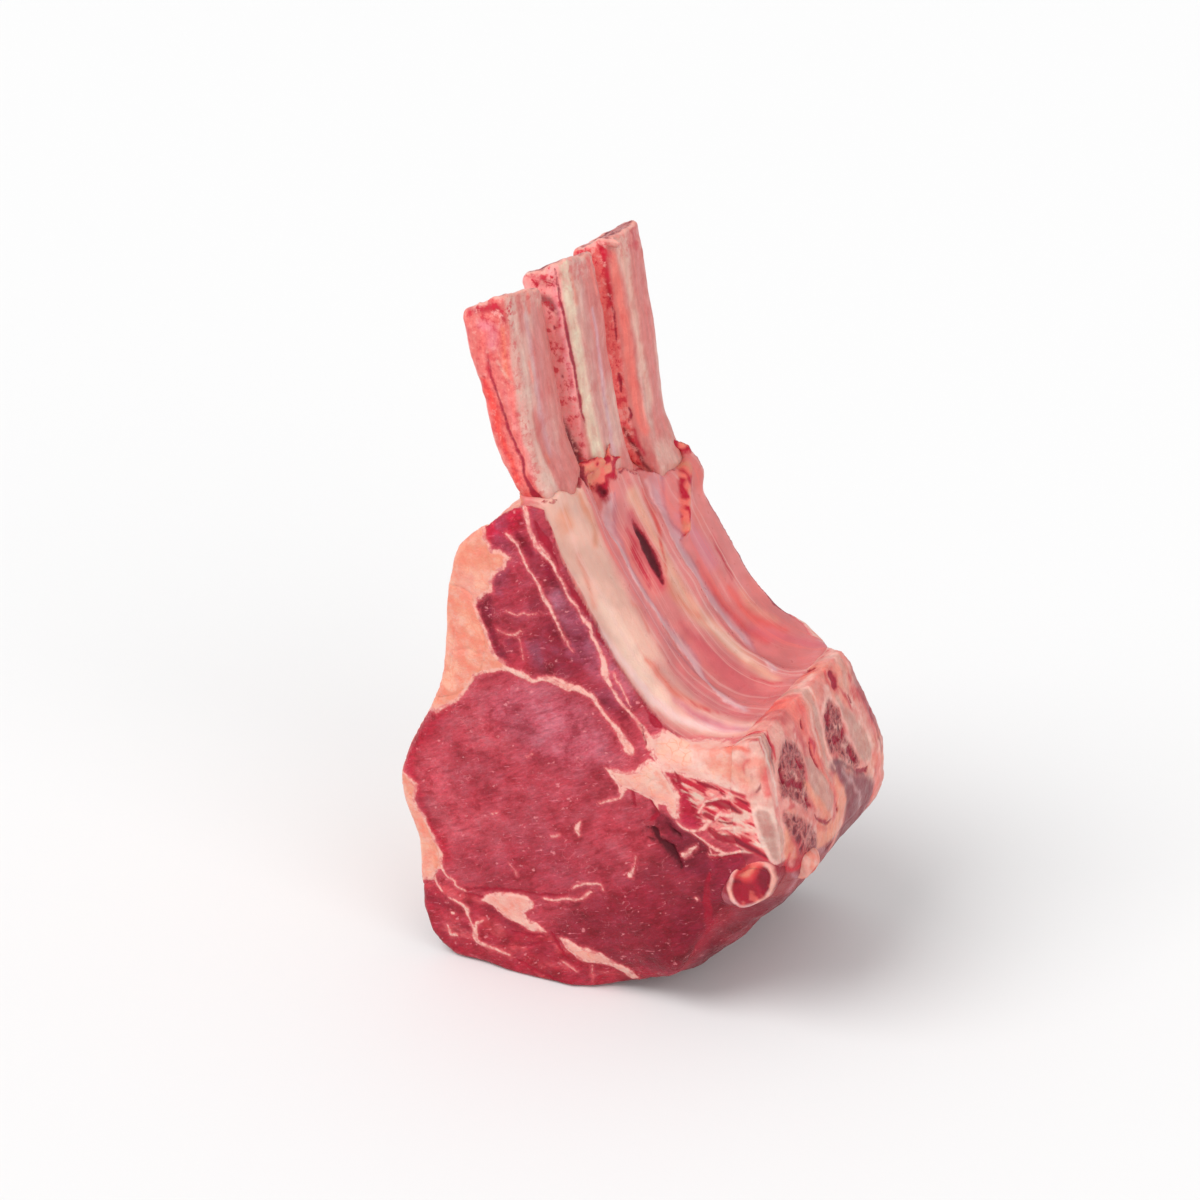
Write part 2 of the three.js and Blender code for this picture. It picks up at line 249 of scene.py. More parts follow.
def capsule(room, start, end, radius):
    """A round-ended rod."""
    a = np.array(start, float)
    along = np.array(end) - a
    x, y, z = room.x - a[0], room.y - a[1], room.z - a[2]
    t = np.clip((x * along[0] + y * along[1] + z * along[2]) / (along @ along), 0, 1)
    gap = (x - t * along[0]) ** 2 + (y - t * along[1]) ** 2 + (z - t * along[2]) ** 2
    return np.sqrt(gap) - radius


# ---- pieces -----------------------------------------------------------------------------------


class Skin:
    """The surface of a piece while it is shaped and painted, in millimetres."""

    def __init__(self, points, triangles, quads):
        self.points = points
        halves = [quads[:, [0, 1, 2]], quads[:, [0, 2, 3]]]
        self.triangles = np.concatenate([triangles.reshape(-1, 3), *halves]).astype(np.int64)
        self.look = {}
        self.find_normals()
        if ((points - points.mean(0)) * self.normals).sum() < 0:
            self.triangles = self.triangles[:, ::-1]
            self.normals = -self.normals

    def find_normals(self):
        p, t = self.points, self.triangles
        across = np.cross(p[t[:, 1]] - p[t[:, 0]], p[t[:, 2]] - p[t[:, 0]])
        total = [sum(np.bincount(t[:, c], across[:, k], len(p)) for c in range(3)) for k in range(3)]
        normals = np.stack(total, 1)
        self.normals = normals / np.maximum(np.linalg.norm(normals, axis=1), 1e-9)[:, None]

    def push(self, amount):
        """Moves the points out by so many millimetres each, but never into the table."""
        self.points = self.points + self.normals * np.asarray(amount)[:, None]
        self.points[:, 2] = np.maximum(self.points[:, 2], FLOOR_GAP)
        self.find_normals()

    def refine(self, wanted):
        """Halves each edge with both ends wanted, for finer detail there."""
        t, count = self.triangles, len(self.points)
        ends = np.sort(np.concatenate([t[:, [0, 1]], t[:, [1, 2]], t[:, [2, 0]]]), axis=1)
        keys, place = np.unique(ends[:, 0] * count + ends[:, 1], return_inverse=True)
        first, second = keys // count, keys % count
        halved = wanted[first] & wanted[second]
        number = np.full(len(keys), -1)
        number[halved] = count + np.arange(halved.sum())
        middles = (self.points[first[halved]] + self.points[second[halved]]) / 2
        self.points = np.concatenate([self.points, middles])
        m = number[place.reshape(3, -1).T]
        cuts = (m >= 0).sum(1)
        parts = [t[cuts == 0]]
        (a, b, c), (ab, bc, ca) = t[cuts == 3].T, m[cuts == 3].T
        parts += [np.stack(f, 1) for f in ((a, ab, ca), (ab, b, bc), (ca, bc, c), (ab, bc, ca))]
        for turn in ([0, 1, 2], [1, 2, 0], [2, 0, 1]):
            tt, mm = t[:, turn], m[:, turn]
            one, two = (cuts == 1) & (mm[:, 0] >= 0), (cuts == 2) & (mm[:, 2] < 0)
            (a, b, c), ab = tt[one].T, mm[one, 0]
            parts += [np.stack(f, 1) for f in ((a, ab, c), (ab, b, c))]
            (a, b, c), ab, bc = tt[two].T, mm[two, 0], mm[two, 1]
            parts += [np.stack(f, 1) for f in ((ab, b, bc), (a, ab, bc), (a, bc, c))]
        self.triangles = np.concatenate(parts)
        self.find_normals()

    def build(self, name, nodes, slot, material):
        """The finished piece, with its look as attributes of the points."""
        points = (self.points - ORIGIN) / 1000
        mesh = bpy.data.meshes.new(name)
        mesh.from_pydata(points.tolist(), [], self.triangles.tolist())
        mesh.polygons.foreach_set("use_smooth", np.ones(len(mesh.polygons), bool))
        for key, values in self.look.items():
            if values.ndim == 2:
                colour = mesh.attributes.new(key, "FLOAT_COLOR", "POINT")
                rgba = np.concatenate([values, np.ones((len(values), 1))], axis=1)
                colour.data.foreach_set("color", rgba.astype(np.float32).ravel())
            else:
                number = mesh.attributes.new(key, "FLOAT", "POINT")
                number.data.foreach_set("value", values.astype(np.float32))
        mesh.materials.append(material)
        mesh.update()
        piece = bpy.data.objects.new(name, mesh)
        bpy.context.scene.collection.objects.link(piece)
        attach(piece, "root")
        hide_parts(*nodes)
        return piece


# ---- materials ------------------------------------------------------------------------------


def linear(r, g, b):
    """A colour as seen on a screen, 0 to 255, in the renderer's own numbers."""
    c = np.array([r, g, b]) / 255
    return np.where(c < 0.04045, c / 12.92, ((c + 0.055) / 1.055) ** 2.4)


MUSCLE = linear(178, 58, 72)
MUSCLE_LIGHT = linear(204, 84, 96)
MUSCLE_DARK = linear(138, 22, 42)
PLUM = linear(150, 62, 84)
# painted sheen: the lilac glint of wet flesh, laid in as a colour
PAINTED_SHEEN = linear(206, 136, 164)
CRIMSON = linear(190, 20, 50)
MAROON = linear(116, 10, 34)
PEACH = linear(228, 140, 116)
CREAM = linear(230, 184, 170)
PINK_FAT = linear(230, 160, 148)
ROSE = linear(232, 140, 134)
ORANGE = linear(236, 122, 96)
SALMON = linear(238, 118, 106)
LINING = linear(220, 130, 128)
LILAC = linear(208, 160, 168)
MAUVE = linear(176, 110, 120)
BONE = linear(222, 188, 174)
BONE_PINK = linear(210, 118, 112)
MARROW = linear(176, 78, 80)
MARROW_DARK = linear(112, 30, 44)
CARTILAGE = linear(202, 143, 131)


class Look:
    """A material under construction: node() makes nodes, joined by the sockets given to it."""

    def __init__(self, name):
        self.material = bpy.data.materials.new(name)
        self.material.use_nodes = True
        self.tree = self.material.node_tree
        self.shader = next(n for n in self.tree.nodes if n.type == "BSDF_PRINCIPLED")
        self.place = self.node("ShaderNodeTexCoord").outputs["Object"]

    def join(self, value, socket):
        if isinstance(value, bpy.types.NodeSocket):
            self.tree.links.new(value, socket)
        else:
            socket.default_value = value

    def node(self, kind, inputs=(), **settings):
        made = self.tree.nodes.new(kind)
        for key, value in settings.items():
            setattr(made, key, value)
        for key, value in dict(inputs).items():
            self.join(value, made.inputs[key])
        return made

    def attribute(self, name, output="Fac"):
        return self.node("ShaderNodeAttribute", attribute_name=name).outputs[output]

    def math(self, operation, *values):
        made = self.node("ShaderNodeMath", operation=operation)
        for value, socket in zip(values, made.inputs):
            self.join(value, socket)
        return made.outputs[0]

    def product(self, first, *others):
        """The values multiplied with one another."""
        for value in others:
            first = self.math("MULTIPLY", first, value)
        return first

    def vector(self, operation, inputs):
        return self.node("ShaderNodeVectorMath", inputs, operation=operation).outputs[0]

    def mapped(self, at, setting, value):
        return self.node("ShaderNodeMapping", {"Vector": at, setting: value}).outputs[0]

    def noise(self, size, detail=2.0, stretch=None, turn=0.0, roughness=0.55, place=None):
        """Noise from 0 to 1 with lumps of size millimetres, stretch times as long along X, Y or Z.
        turn tips the X direction up by that many degrees."""
        at = self.place if place is None else place
        if turn:
            at = self.mapped(at, "Rotation", (0, math.radians(turn), 0))
        if stretch:
            at = self.mapped(at, "Scale", [1 / s for s in stretch])
        made = self.node(
            "ShaderNodeTexNoise",
            {"Vector": at, "Scale": 1000 / size, "Detail": detail, "Roughness": roughness},
        )
        return made.outputs["Fac"]

    def cells(self, size, stretch=(1, 1, 1), warp=0.0):
        """Distance to the edge of cells of size millimetres, bent by warp millimetres."""
        at = self.mapped(self.place, "Scale", [1 / s for s in stretch])
        if warp:
            bend = self.node("ShaderNodeTexNoise", {"Vector": at, "Scale": 700 / size, "Detail": 2.0})
            shift = self.vector("SUBTRACT", {0: bend.outputs["Color"], 1: (0.5, 0.5, 0.5)})
            shift = self.vector("SCALE", {0: shift, "Scale": warp / 1000})
            at = self.vector("ADD", {0: at, 1: shift})
        inputs = {"Vector": at, "Scale": 1000 / size}
        made = self.node("ShaderNodeTexVoronoi", inputs, feature="DISTANCE_TO_EDGE")
        return made.outputs["Distance"]

    def ramp(self, value, low, high, to_low=0.0, to_high=1.0):
        """A smooth change from to_low to to_high while the value goes from low to high."""
        made = self.node("ShaderNodeMapRange", interpolation_type="SMOOTHSTEP")
        for item, socket in zip((value, low, high, to_low, to_high), made.inputs):
            self.join(item, socket)
        return made.outputs[0]

    def blend(self, share, a, b, how="MIX"):
        made = self.node("ShaderNodeMix", data_type="RGBA", blend_type=how)
        colours = [(*c, 1.0) if isinstance(c, (np.ndarray, tuple)) else c for c in (a, b)]
        for item, socket in zip((share, *colours), (made.inputs[0], made.inputs[6], made.inputs[7])):
            self.join(item, socket)
        return made.outputs[2]

    def shade(self, colour, amount):
        """The colour made darker or lighter: amount is 1 for no change."""
        grey = self.node("ShaderNodeCombineColor", {0: amount, 1: amount, 2: amount}).outputs[0]
        return self.blend(1.0, colour, grey, "MULTIPLY")

    def finish(self, colour, roughness, height, relief, skin_depth, gloss):
        """Sets the shader; relief is the height of the bumps in millimetres."""
        bump = self.node("ShaderNodeBump", {"Height": height, "Distance": relief / 1000, "Strength": 1.0})
        settings = {
            "Base Color": colour,
            "Roughness": roughness,
            "Normal": bump.outputs[0],
            "Specular IOR Level": gloss,
            "Subsurface Weight": 0.3,
            "Subsurface Radius": (1.0, 0.35, 0.25),
            "Subsurface Scale": skin_depth / 1000,
        }
        for key, value in settings.items():
            self.join(value, self.shader.inputs[key])
        return self.material


GRAIN = 32  # degrees that the fibres of the cut face rise towards the ribs


def flesh_look(name):
    """Muscle, seams of fat and the chest lining.

    The colour attributes are tint for the flesh and fatty for the fat over it. Its numbers are the
    shares grain and lined, and the distances from pale marks, dark marks and gaps, whose painted shade
    is near black. flow is the place on the lining, along and across its streaks."""
    look = Look(name)
    colour = look.attribute("tint", "Color")
    grain = look.attribute("grain")

    # broad and fine changes of shade, the fine ones along the fibres
    colour = look.shade(colour, look.ramp(look.noise(15, 2), 0.3, 0.7, 0.9, 1.1))
    patches = look.noise(8, 5, stretch=(1.5, 1.2, 1.0), turn=GRAIN, roughness=0.66)
    pale_patch = look.product(look.ramp(patches, 0.5, 0.62, 0.0, 0.8), grain)
    colour = look.blend(pale_patch, colour, (1.12, 1.75, 1.6), "MULTIPLY")
    dark_patch = look.product(look.ramp(patches, 0.49, 0.36, 0.0, 0.9), grain)
    colour = look.blend(dark_patch, colour, (0.72, 0.38, 0.46), "MULTIPLY")
    fibres = look.noise(1.1, 3, stretch=(3.4, 1.6, 1.0), turn=GRAIN, roughness=0.65)
    colour = look.blend(grain, colour, look.shade(colour, look.ramp(fibres, 0.32, 0.68, 0.86, 1.14)))

    # thin pale threads, dashes and dark lines along the fibres, and small flecks of fat
    wisps = look.noise(7.0, 3, stretch=(1.8, 1.3, 1.0), turn=GRAIN + 14, roughness=0.5)
    ridge = look.math("ABSOLUTE", look.math("SUBTRACT", wisps, 0.5))
    where = look.ramp(look.noise(11, 2), 0.52, 0.64)
    wisp = look.product(look.ramp(ridge, 0.012, 0.0), where, grain, 0.3)
    colour = look.blend(wisp, colour, linear(228, 130, 138))
    dashes = look.ramp(look.noise(1.2, 2, stretch=(5.0, 2.0, 1.0), turn=GRAIN - 14), 0.64, 0.74)
    colour = look.blend(look.product(dashes, grain, 0.45), colour, linear(226, 120, 134))
    lines = look.ramp(look.noise(2.4, 3, stretch=(7.0, 2.0, 1.0), turn=GRAIN - 6), 0.56, 0.7)
    colour = look.blend(look.product(lines, grain, 0.4), colour, linear(134, 22, 44))
    flecks = look.ramp(look.noise(2.3, 2, stretch=(1.6, 1.2, 1.0), turn=GRAIN), 0.64, 0.76)
    colour = look.blend(look.product(flecks, grain, 0.7), colour, linear(228, 136, 142))

    # streaks along the ribs on the chest lining
    streaks = look.noise(1000, 4, place=look.attribute("flow", "Vector"), roughness=0.62)
    lined = look.attribute("lined")
    red_streaks = look.product(lined, look.ramp(streaks, 0.54, 0.72, 0.0, 0.45))
    colour = look.blend(red_streaks, colour, SALMON)
    pale_streaks = look.product(lined, look.ramp(streaks, 0.48, 0.3, 0.0, 0.5))
    colour = look.blend(pale_streaks, colour, linear(236, 190, 180))

    # the pink border of the fat, and lines of blood
    ragged = look.math("SUBTRACT", look.noise(2.2, 4, roughness=0.7), 0.5)
    pale = look.attribute("pale")
    border = look.ramp(look.math("MULTIPLY_ADD", ragged, 3.8, pale), 2.0, -0.4, 0.0, 0.65)
    colour = look.blend(border, colour, linear(218, 88, 98))
    dark = look.math("MULTIPLY_ADD", ragged, 1.8, look.attribute("dark"))
    blood = look.blend(look.noise(5), CRIMSON, MAROON)
    colour = look.blend(look.ramp(dark, 0.7, -0.5, 0.0, 0.92), colour, blood)

    # fat, cloudy and veined where it is thick and with a pale edge
    fat = look.attribute("fatty", "Color")
    fat = look.blend(look.ramp(look.noise(5, 3), 0.45, 0.7, 0.0, 0.5), fat, CREAM)
    fat = look.blend(look.ramp(look.noise(3.2, 3), 0.5, 0.68, 0.0, 0.3), fat, linear(230, 128, 116))
    thick = look.ramp(pale, -1.5, -4.0)
    cloudy = look.noise(9, 3)
    light_clouds = look.product(thick, look.ramp(cloudy, 0.46, 0.66, 0.0, 0.6))
    fat = look.blend(light_clouds, fat, linear(240, 180, 154))
    deep_clouds = look.product(thick, look.ramp(cloudy, 0.5, 0.34, 0.0, 0.6))
    fat = look.blend(deep_clouds, fat, linear(232, 128, 108))
    lobules = look.cells(4.5, (1.4, 1.4, 1.0), 5.0)
    veins = look.product(look.ramp(lobules, 0.0, 0.07, 1.0, 0.0), look.ramp(look.noise(9, 2), 0.5, 0.62))
    fat = look.blend(look.product(veins, look.ramp(pale, -0.8, -2.5, 0.0, 0.4)), fat, ORANGE)
    fat = look.blend(look.ramp(pale, -0.6, 0.3, 0.0, 0.45), fat, linear(232, 136, 132))
    fat = look.blend(look.ramp(pale, -2.0, -0.9, 0.0, 0.5), fat, linear(240, 190, 178))
    thin = look.ramp(look.noise(4, 3, roughness=0.7), 0.36, 0.56, 0.35, 1.0)
    cover = look.math("MAXIMUM", thin, look.ramp(pale, -0.9, -1.8))
    inside = look.ramp(look.math("MULTIPLY_ADD", ragged, 2.2, pale), 0.6, -0.5)
    colour = look.blend(look.product(inside, cover), colour, fat)

    # painted shade: creases, pockets, the slit and pores turn near black
    gap_shade = look.math("MULTIPLY_ADD", ragged, 2.4, look.attribute("gap_shade"))
    colour = look.blend(look.ramp(gap_shade, 0.9, -0.9), colour, linear(86, 8, 24))

    wet = look.ramp(look.noise(5, 2), 0.3, 0.7, 0.27, 0.5)
    height = look.math("MULTIPLY_ADD", fibres, 0.7, look.noise(1.0, 3, roughness=0.6))
    height = look.math("MULTIPLY_ADD", look.noise(3.2, 2), 1.4, height)
    height = look.product(height, look.math("MULTIPLY_ADD", lined, -0.6, 1.0))
    return look.finish(colour, wet, height, 0.32, 1.6, 0.22)


def bone_look(name, relief):
    """Scraped bone, sawn bone or cartilage with bumps of relief millimetres.

    The colour attribute is tint. The numbers are the shares raw and porous and the distance from
    dark marks. flow is the place along and across the streaks."""
    look = Look(name)
    colour = look.attribute("tint", "Color")
    streaks = look.noise(1000, 4, place=look.attribute("flow", "Vector"), roughness=0.62)
    colour = look.shade(colour, look.ramp(streaks, 0.3, 0.7, 0.9, 1.08))
    stains = look.noise(7, 5, roughness=0.68)
    colour = look.blend(look.ramp(stains, 0.5, 0.62, 0.0, 0.5), colour, (1.1, 1.4, 1.38), "MULTIPLY")
    colour = look.blend(look.ramp(stains, 0.48, 0.36, 0.0, 0.55), colour, (0.92, 0.6, 0.62), "MULTIPLY")
    raw = look.attribute("raw")
    spots = look.noise(4.2, 5, roughness=0.68)
    colour = look.blend(look.product(raw, look.ramp(spots, 0.5, 0.62)), colour, linear(206, 30, 56))
    colour = look.blend(look.product(raw, look.ramp(spots, 0.48, 0.34)), colour, linear(240, 168, 160))

    porous = look.attribute("porous")
    webs = look.cells(4.2, (1.0, 1.0, 1.3), 6.0)
    cells = look.product(look.ramp(webs, 0.08, 0.3), look.ramp(look.noise(5.0, 2), 0.4, 0.6))
    grains = look.ramp(look.noise(1.5, 3), 0.5, 0.64, 0.0, 0.6)
    holes = look.product(porous, look.math("MAXIMUM", cells, grains))
    colour = look.blend(holes, colour, look.blend(look.noise(3), MARROW_DARK, MAROON))
    rims = look.product(porous, look.ramp(webs, 0.06, 0.0, 0.0, 0.35))
    colour = look.blend(rims, colour, PINK_FAT)

    ragged = look.math("SUBTRACT", look.noise(2.2, 3, roughness=0.65), 0.5)
    dark = look.math("MULTIPLY_ADD", ragged, 1.5, look.attribute("dark"))
    blood = look.blend(look.noise(4), linear(186, 20, 56), linear(120, 8, 40))
    colour = look.blend(look.ramp(dark, 0.6, -0.5, 0.0, 0.9), colour, blood)

    height = look.math("MULTIPLY_ADD", holes, -2.0, look.noise(1.1, 3))
    height = look.math("MULTIPLY_ADD", look.noise(4, 2), 1.2, height)
    return look.finish(colour, look.ramp(look.noise(5), 0.3, 0.7, 0.3, 0.48), height, relief, 1.4, 0.3)


FLESH, FAT = flesh_look("flesh"), flesh_look("fat")
BONY = bone_look("bone", 0.15)
GRISTLE, SAWN_BONE = bone_look("cartilage", 0.3), bone_look("sawn_bone", 0.3)

# ---- what is drawn on the cut face ---------------------------------------------------------------

# Pale seams, in [x, z, half width].
SEAMS = [
    # over the round muscle
    [[-15, 158.5, 1.4], [-11.5, 157, 1.4], [-6, 156, 1.5], [-1, 154, 0.9], [3, 156.5, 1],
     [8.5, 156.5, 1.8], [14, 155, 2.1], [20.5, 154.5, 1.4], [26.5, 152, 1.1], [31, 146, 1],
     [36, 141.5, 1], [40, 136.5, 1.6], [44.5, 130, 2.4]],
    # hook under the knot
    [[43, 111, 1.2], [42, 108, 0.7], [40, 105.5, 0.6], [36, 104, 0.7], [30, 101, 0.3]],
    # net under the backbone
    [[68, 101, 0.9], [71, 98.5, 0.7], [75, 98, 0.8], [80, 100, 0.9], [83, 104, 0.9]],
    [[74, 98, 0.6], [80, 94.5, 0.7], [84, 92, 0.9], [91, 89.5, 0.8]],
    [[83, 87, 0.6], [91, 89.5, 0.9], [97, 92, 0.7], [104, 93, 0.4]],
    [[83, 92, 0.5], [84.5, 87.5, 0.6]],
    # strands among the red shreds beside the backbone
    [[78, 107.5, 0.5], [81, 112.5, 0.8], [87.5, 116.4, 0.9], [94.7, 117.8, 1.2], [101, 116.6, 0.8]],
    [[80.4, 103.6, 0.8], [85.4, 105.7, 0.9], [87.6, 108.6, 1.1], [91.7, 108.9, 1], [102, 111, 0.8]],
    [[86, 101, 0.5], [91.9, 102.6, 0.9], [98.2, 103.8, 1], [103.2, 102.3, 0.8]],
    # beside the meat of the ribs
    [[-7, 234, 1.4], [-4.5, 226, 1.2], [-3, 222, 1.3], [0, 217.5, 1.3], [3, 215, 0.9], [7, 211.5, 0.7],
     [9.5, 207, 0.6], [12, 202.5, 0.6], [14.5, 197.5, 0.6], [17.5, 193, 0.6], [20.5, 189, 0.6],
     [24, 184, 0.8], [26, 179.5, 0.8], [29, 174, 0.9], [31, 169, 1.5], [32, 164, 1.9], [35.5, 157.5, 0.7],
     [40, 151, 0.7], [45.5, 146, 0.8], [50, 141, 1.2], [54, 134, 2.6]],
    [[1, 219, 0.4], [6, 213.5, 0.5], [8, 209, 0.3]],
    # in the upper muscle
    [[-15, 221, 0.7], [-12.5, 219.5, 0.8], [-9.5, 216.5, 0.7], [-7.5, 212.5, 0.6], [-5, 208, 0.6],
     [-1, 203.5, 0.6], [2, 198.5, 0.7], [4.5, 193.5, 0.9], [7.5, 188.5, 0.8], [10, 183.5, 0.6],
     [12, 179, 0.5], [14.5, 175.5, 0.4], [17.5, 172, 0.3]],
    [[36, 164.5, 0.5], [40, 157, 0.5], [44, 150, 0.3]],
    [[-14.5, 185, 0.2], [-10, 184.5, 0.3], [-4, 186, 0.25], [3, 187.5, 0.1]],
    [[-10, 175, 0.4], [-7.5, 171, 0.3], [-6, 163.5, 0.2]],
    [[-19, 175.5, 0.2], [-14.5, 174.5, 0.35], [-10, 175, 0.4], [-7, 177.5, 0.3]],
    # lower left
    [[-54, 49, 1], [-51, 46.5, 0.9], [-48, 43.5, 0.7], [-44, 42, 0.6], [-42.5, 39.5, 0.6],
     [-38, 38.5, 0.4]],
    [[-55.5, 41.5, 0.5], [-53.5, 37.5, 0.7], [-51, 35, 0.9]],
    [[-47, 32, 0.5], [-41.5, 31.5, 0.9], [-37.5, 29, 1.1], [-37, 25.5, 0.6], [-35, 21.5, 0.5],
     [-33.5, 18, 1.3], [-33.5, 13.5, 1.5], [-28.5, 11.5, 1.2], [-21, 10.5, 0.9], [-16, 9.5, 0.3]],
    [[-29, 25.5, 0.3], [-32.5, 22.5, 0.6], [-33.5, 18, 0.8]],
    [[-48, 17, 0.4], [-47, 12, 1], [-44, 13, 0.9]],
    [[-45.5, 24.5, 0.7], [-44.5, 24.5, 0.7]],
    [[2.5, 45, 0.5], [7.5, 45.5, 0.6], [12.5, 48, 0.6], [20.5, 50, 0.7], [25, 53.5, 0.7], [28, 56, 0.2]],
    [[16.5, 54, 0.2], [20, 57, 0.5], [25.5, 59, 0.7], [30.5, 60, 0.6], [32, 58, 0.3]],
    [[25, 14, 0.2], [24.5, 7, 0.4], [23.5, 1, 0.3]],
    [[34.5, 16, 0.3], [33.5, 8, 0.3], [32.5, 1, 0.2]],
    [[11.5, 13, 0.5], [14, 12, 0.8], [17, 9.5, 0.5]],
    # flecks
    [[21.5, 90, 0.6], [20, 86, 1.3], [21, 83, 0.5]],
    [[7.5, 79.5, 0.6], [11.5, 81, 0.5]],
    [[-23, 83, 0.3], [-20.5, 84, 0.3]],
    [[48.5, 79, 0.3], [47.5, 73, 0.4], [45.5, 68, 1.1]],
    [[-14.5, 59.5, 0.2], [-10.5, 54.5, 0.4]],
    [[-5, 116, 0.3], [-2, 118.5, 0.3]],
    [[70.5, 83.5, 1.2], [74, 86.5, 1.3], [76.5, 89.5, 0.8]],
    [[76, 63, 0.5], [77, 62, 0.5]],
]
# Patches of fat in the cut face, as [x, z] outlines with their corners kept.
KNOT = [
    [34, 119.5], [43, 120], [48.5, 121.5], [50.5, 125], [54, 128], [60.5, 127], [64, 121.5], [66.5, 118],
    [69, 113], [69.5, 103.5], [66, 101.5], [63, 107.5], [59.5, 108], [58.5, 103], [57, 108.5],
    [52.5, 109.5], [48, 111], [44, 112], [41.5, 108.5], [40, 113],
]
ISLAND = [
    [-29.5, 36.5], [-27, 40], [-20, 42.5], [-12, 44.5], [-6, 43.5], [-3, 41.5], [-4.5, 37.5], [-7.5, 35],
    [-6.5, 32], [-1, 30.5], [3, 27.5], [-4, 26], [-11, 28.5], [-18, 30], [-22, 33.5],
]
LOW_STREAK = [
    [10, 26.5], [15, 26], [19.5, 24], [25, 23.5], [30, 22], [34, 19], [39.5, 17], [44, 14], [48, 8.5],
    [41, 5], [38, 11], [34.5, 15], [29, 16], [24, 15.5], [18, 17], [14, 21],
]
RIB_HEAD = [
    [54.5, 130], [54, 138], [59, 142], [67, 142], [80, 144], [95, 146], [106, 146], [112, 126],
    [112, 108], [104, 112], [99, 119], [93, 121], [84, 122.5], [77, 123], [70, 124], [62, 124],
]
UPPER_FAT = [
    [-70, 126], [-52, 126], [-46.5, 130.5], [-39, 136], [-34.5, 142.5], [-31, 149.5], [-22, 154.5],
    [-14.5, 157], [-14.5, 160], [-20, 163], [-22, 168.5], [-24.5, 173.5], [-28, 179.5], [-30.5, 184],
    [-29.5, 186], [-25, 190.5], [-21.5, 193], [-22, 198], [-20.5, 201], [-15.5, 204.5], [-15, 208],
    [-12, 210], [-15, 210.5], [-18, 212.5], [-22.5, 211.5], [-24, 215], [-26, 219], [-34, 240],
    [-70, 240],
]
LOWER_FAT = [
    [-90, 95], [-68.5, 91.5], [-62, 87.5], [-64.5, 78.5], [-59.5, 71], [-55, 62], [-50.5, 54], [-50, 47],
    [-53.5, 44.5], [-56, 39.5], [-61, 37], [-90, 34],
]
# Dark creases and lines of blood, in [x, z, half width].
CREASES = [
    [[50.5, 91.5, 0.3], [54, 94, 1], [58.5, 92, 2.2], [61, 89, 1.6], [64.5, 85.5, 1.9], [68, 80, 1.1],
     [70, 76, 0.4]],
    [[61, 89, 1], [57, 88.5, 0.8], [54, 89.5, 0.2]],
    [[62, 97.5, 0.3], [66, 95, 1], [70, 93.5, 0.4]],
]
BLOOD_LINES = [
    [[83, 77, 0.5], [82, 72, 1.2], [81, 62.5, 1.6], [81.5, 52, 1.8], [80, 46, 0.5]],
    [[-38, 37, 0.4], [-29.5, 38.5, 0.5]],
    [[-10, 16, 0.3], [-4, 19, 0.6], [1, 21.5, 0.3]],
    [[-14, 23.5, 0.3], [-6, 23.5, 0.6], [2, 25, 0.4]],
    [[6, 28, 0.6], [9, 23, 0.9], [13, 17, 0.4]],
    [[-38, 39.5, 0.3], [-29, 42.5, 0.7], [-20, 44.5, 0.7], [-8.5, 46.5, 0.7], [3, 47.5, 0.7],
     [15, 50.5, 0.3]],
    [[54.5, 118.5, 0.2], [56.5, 119, 0.7], [58.5, 119.5, 0.2]],
    [[46, 112.5, 0.2], [47, 109, 0.7], [47.5, 104, 0.6]],
    [[-12, 8, 0.4], [0, 4, 0.9], [12, 2, 0.8]],
    [[83, 86.5, 0.3], [90, 88, 0.7], [98, 90.5, 0.5]],
    [[105.4, 127, 0.4], [104.8, 124.6, 1], [103.6, 122.4, 0.6]],
]
# The redder flesh along the left and the lower edge.
EDGES = [
    [[-46, 131, 0.5], [-54, 120, 2], [-60, 112, 3], [-65, 103.5, 3.5], [-67, 96, 2.5], [-62, 85, 1.5],
     [-59, 73, 1.5], [-53, 62, 2], [-48, 53, 1.5]],
    [[-56, 34, 1.5], [-57, 21, 2], [-51, 8, 2.5], [-36, 4, 2], [-27, 2, 2.5], [-8, 1, 2.5], [14, 0, 2.5],
     [36, 0, 2], [52, 8, 1.5]],
]
# The dark strip of meat beside the ribs, and the muscle between it and the round one.
RIB_MEAT = [
    [-1, 228, 1.2], [3, 220, 1.8], [9, 210, 1.3], [16, 199, 1.4], [22.5, 191, 1.6], [29, 182, 1.9],
    [36, 172.5, 2.1], [41.5, 165, 2.2], [48, 157.5, 2.6], [53, 151, 2.8], [58, 145.5, 3],
    [63.5, 141.5, 2.4], [68, 139, 1],
]
UPPER_MUSCLE = [
    [-30, 222], [-12, 236], [0, 230], [14, 204], [30, 180], [40, 164], [46, 150], [40, 142], [31, 148],
    [20, 156], [8, 158], [-8, 157], [-20, 160], [-34, 185], [-30, 200],
]
# The sawn end of the first disc, seen from the front, as an outline of [x, z].
DISC_END = [
    [103.8, 114.5], [110, 115], [113, 109], [114.5, 97.4], [114, 89.2], [111.7, 89], [108, 95.5],
    [105.4, 103.8], [103.4, 110.3],
]
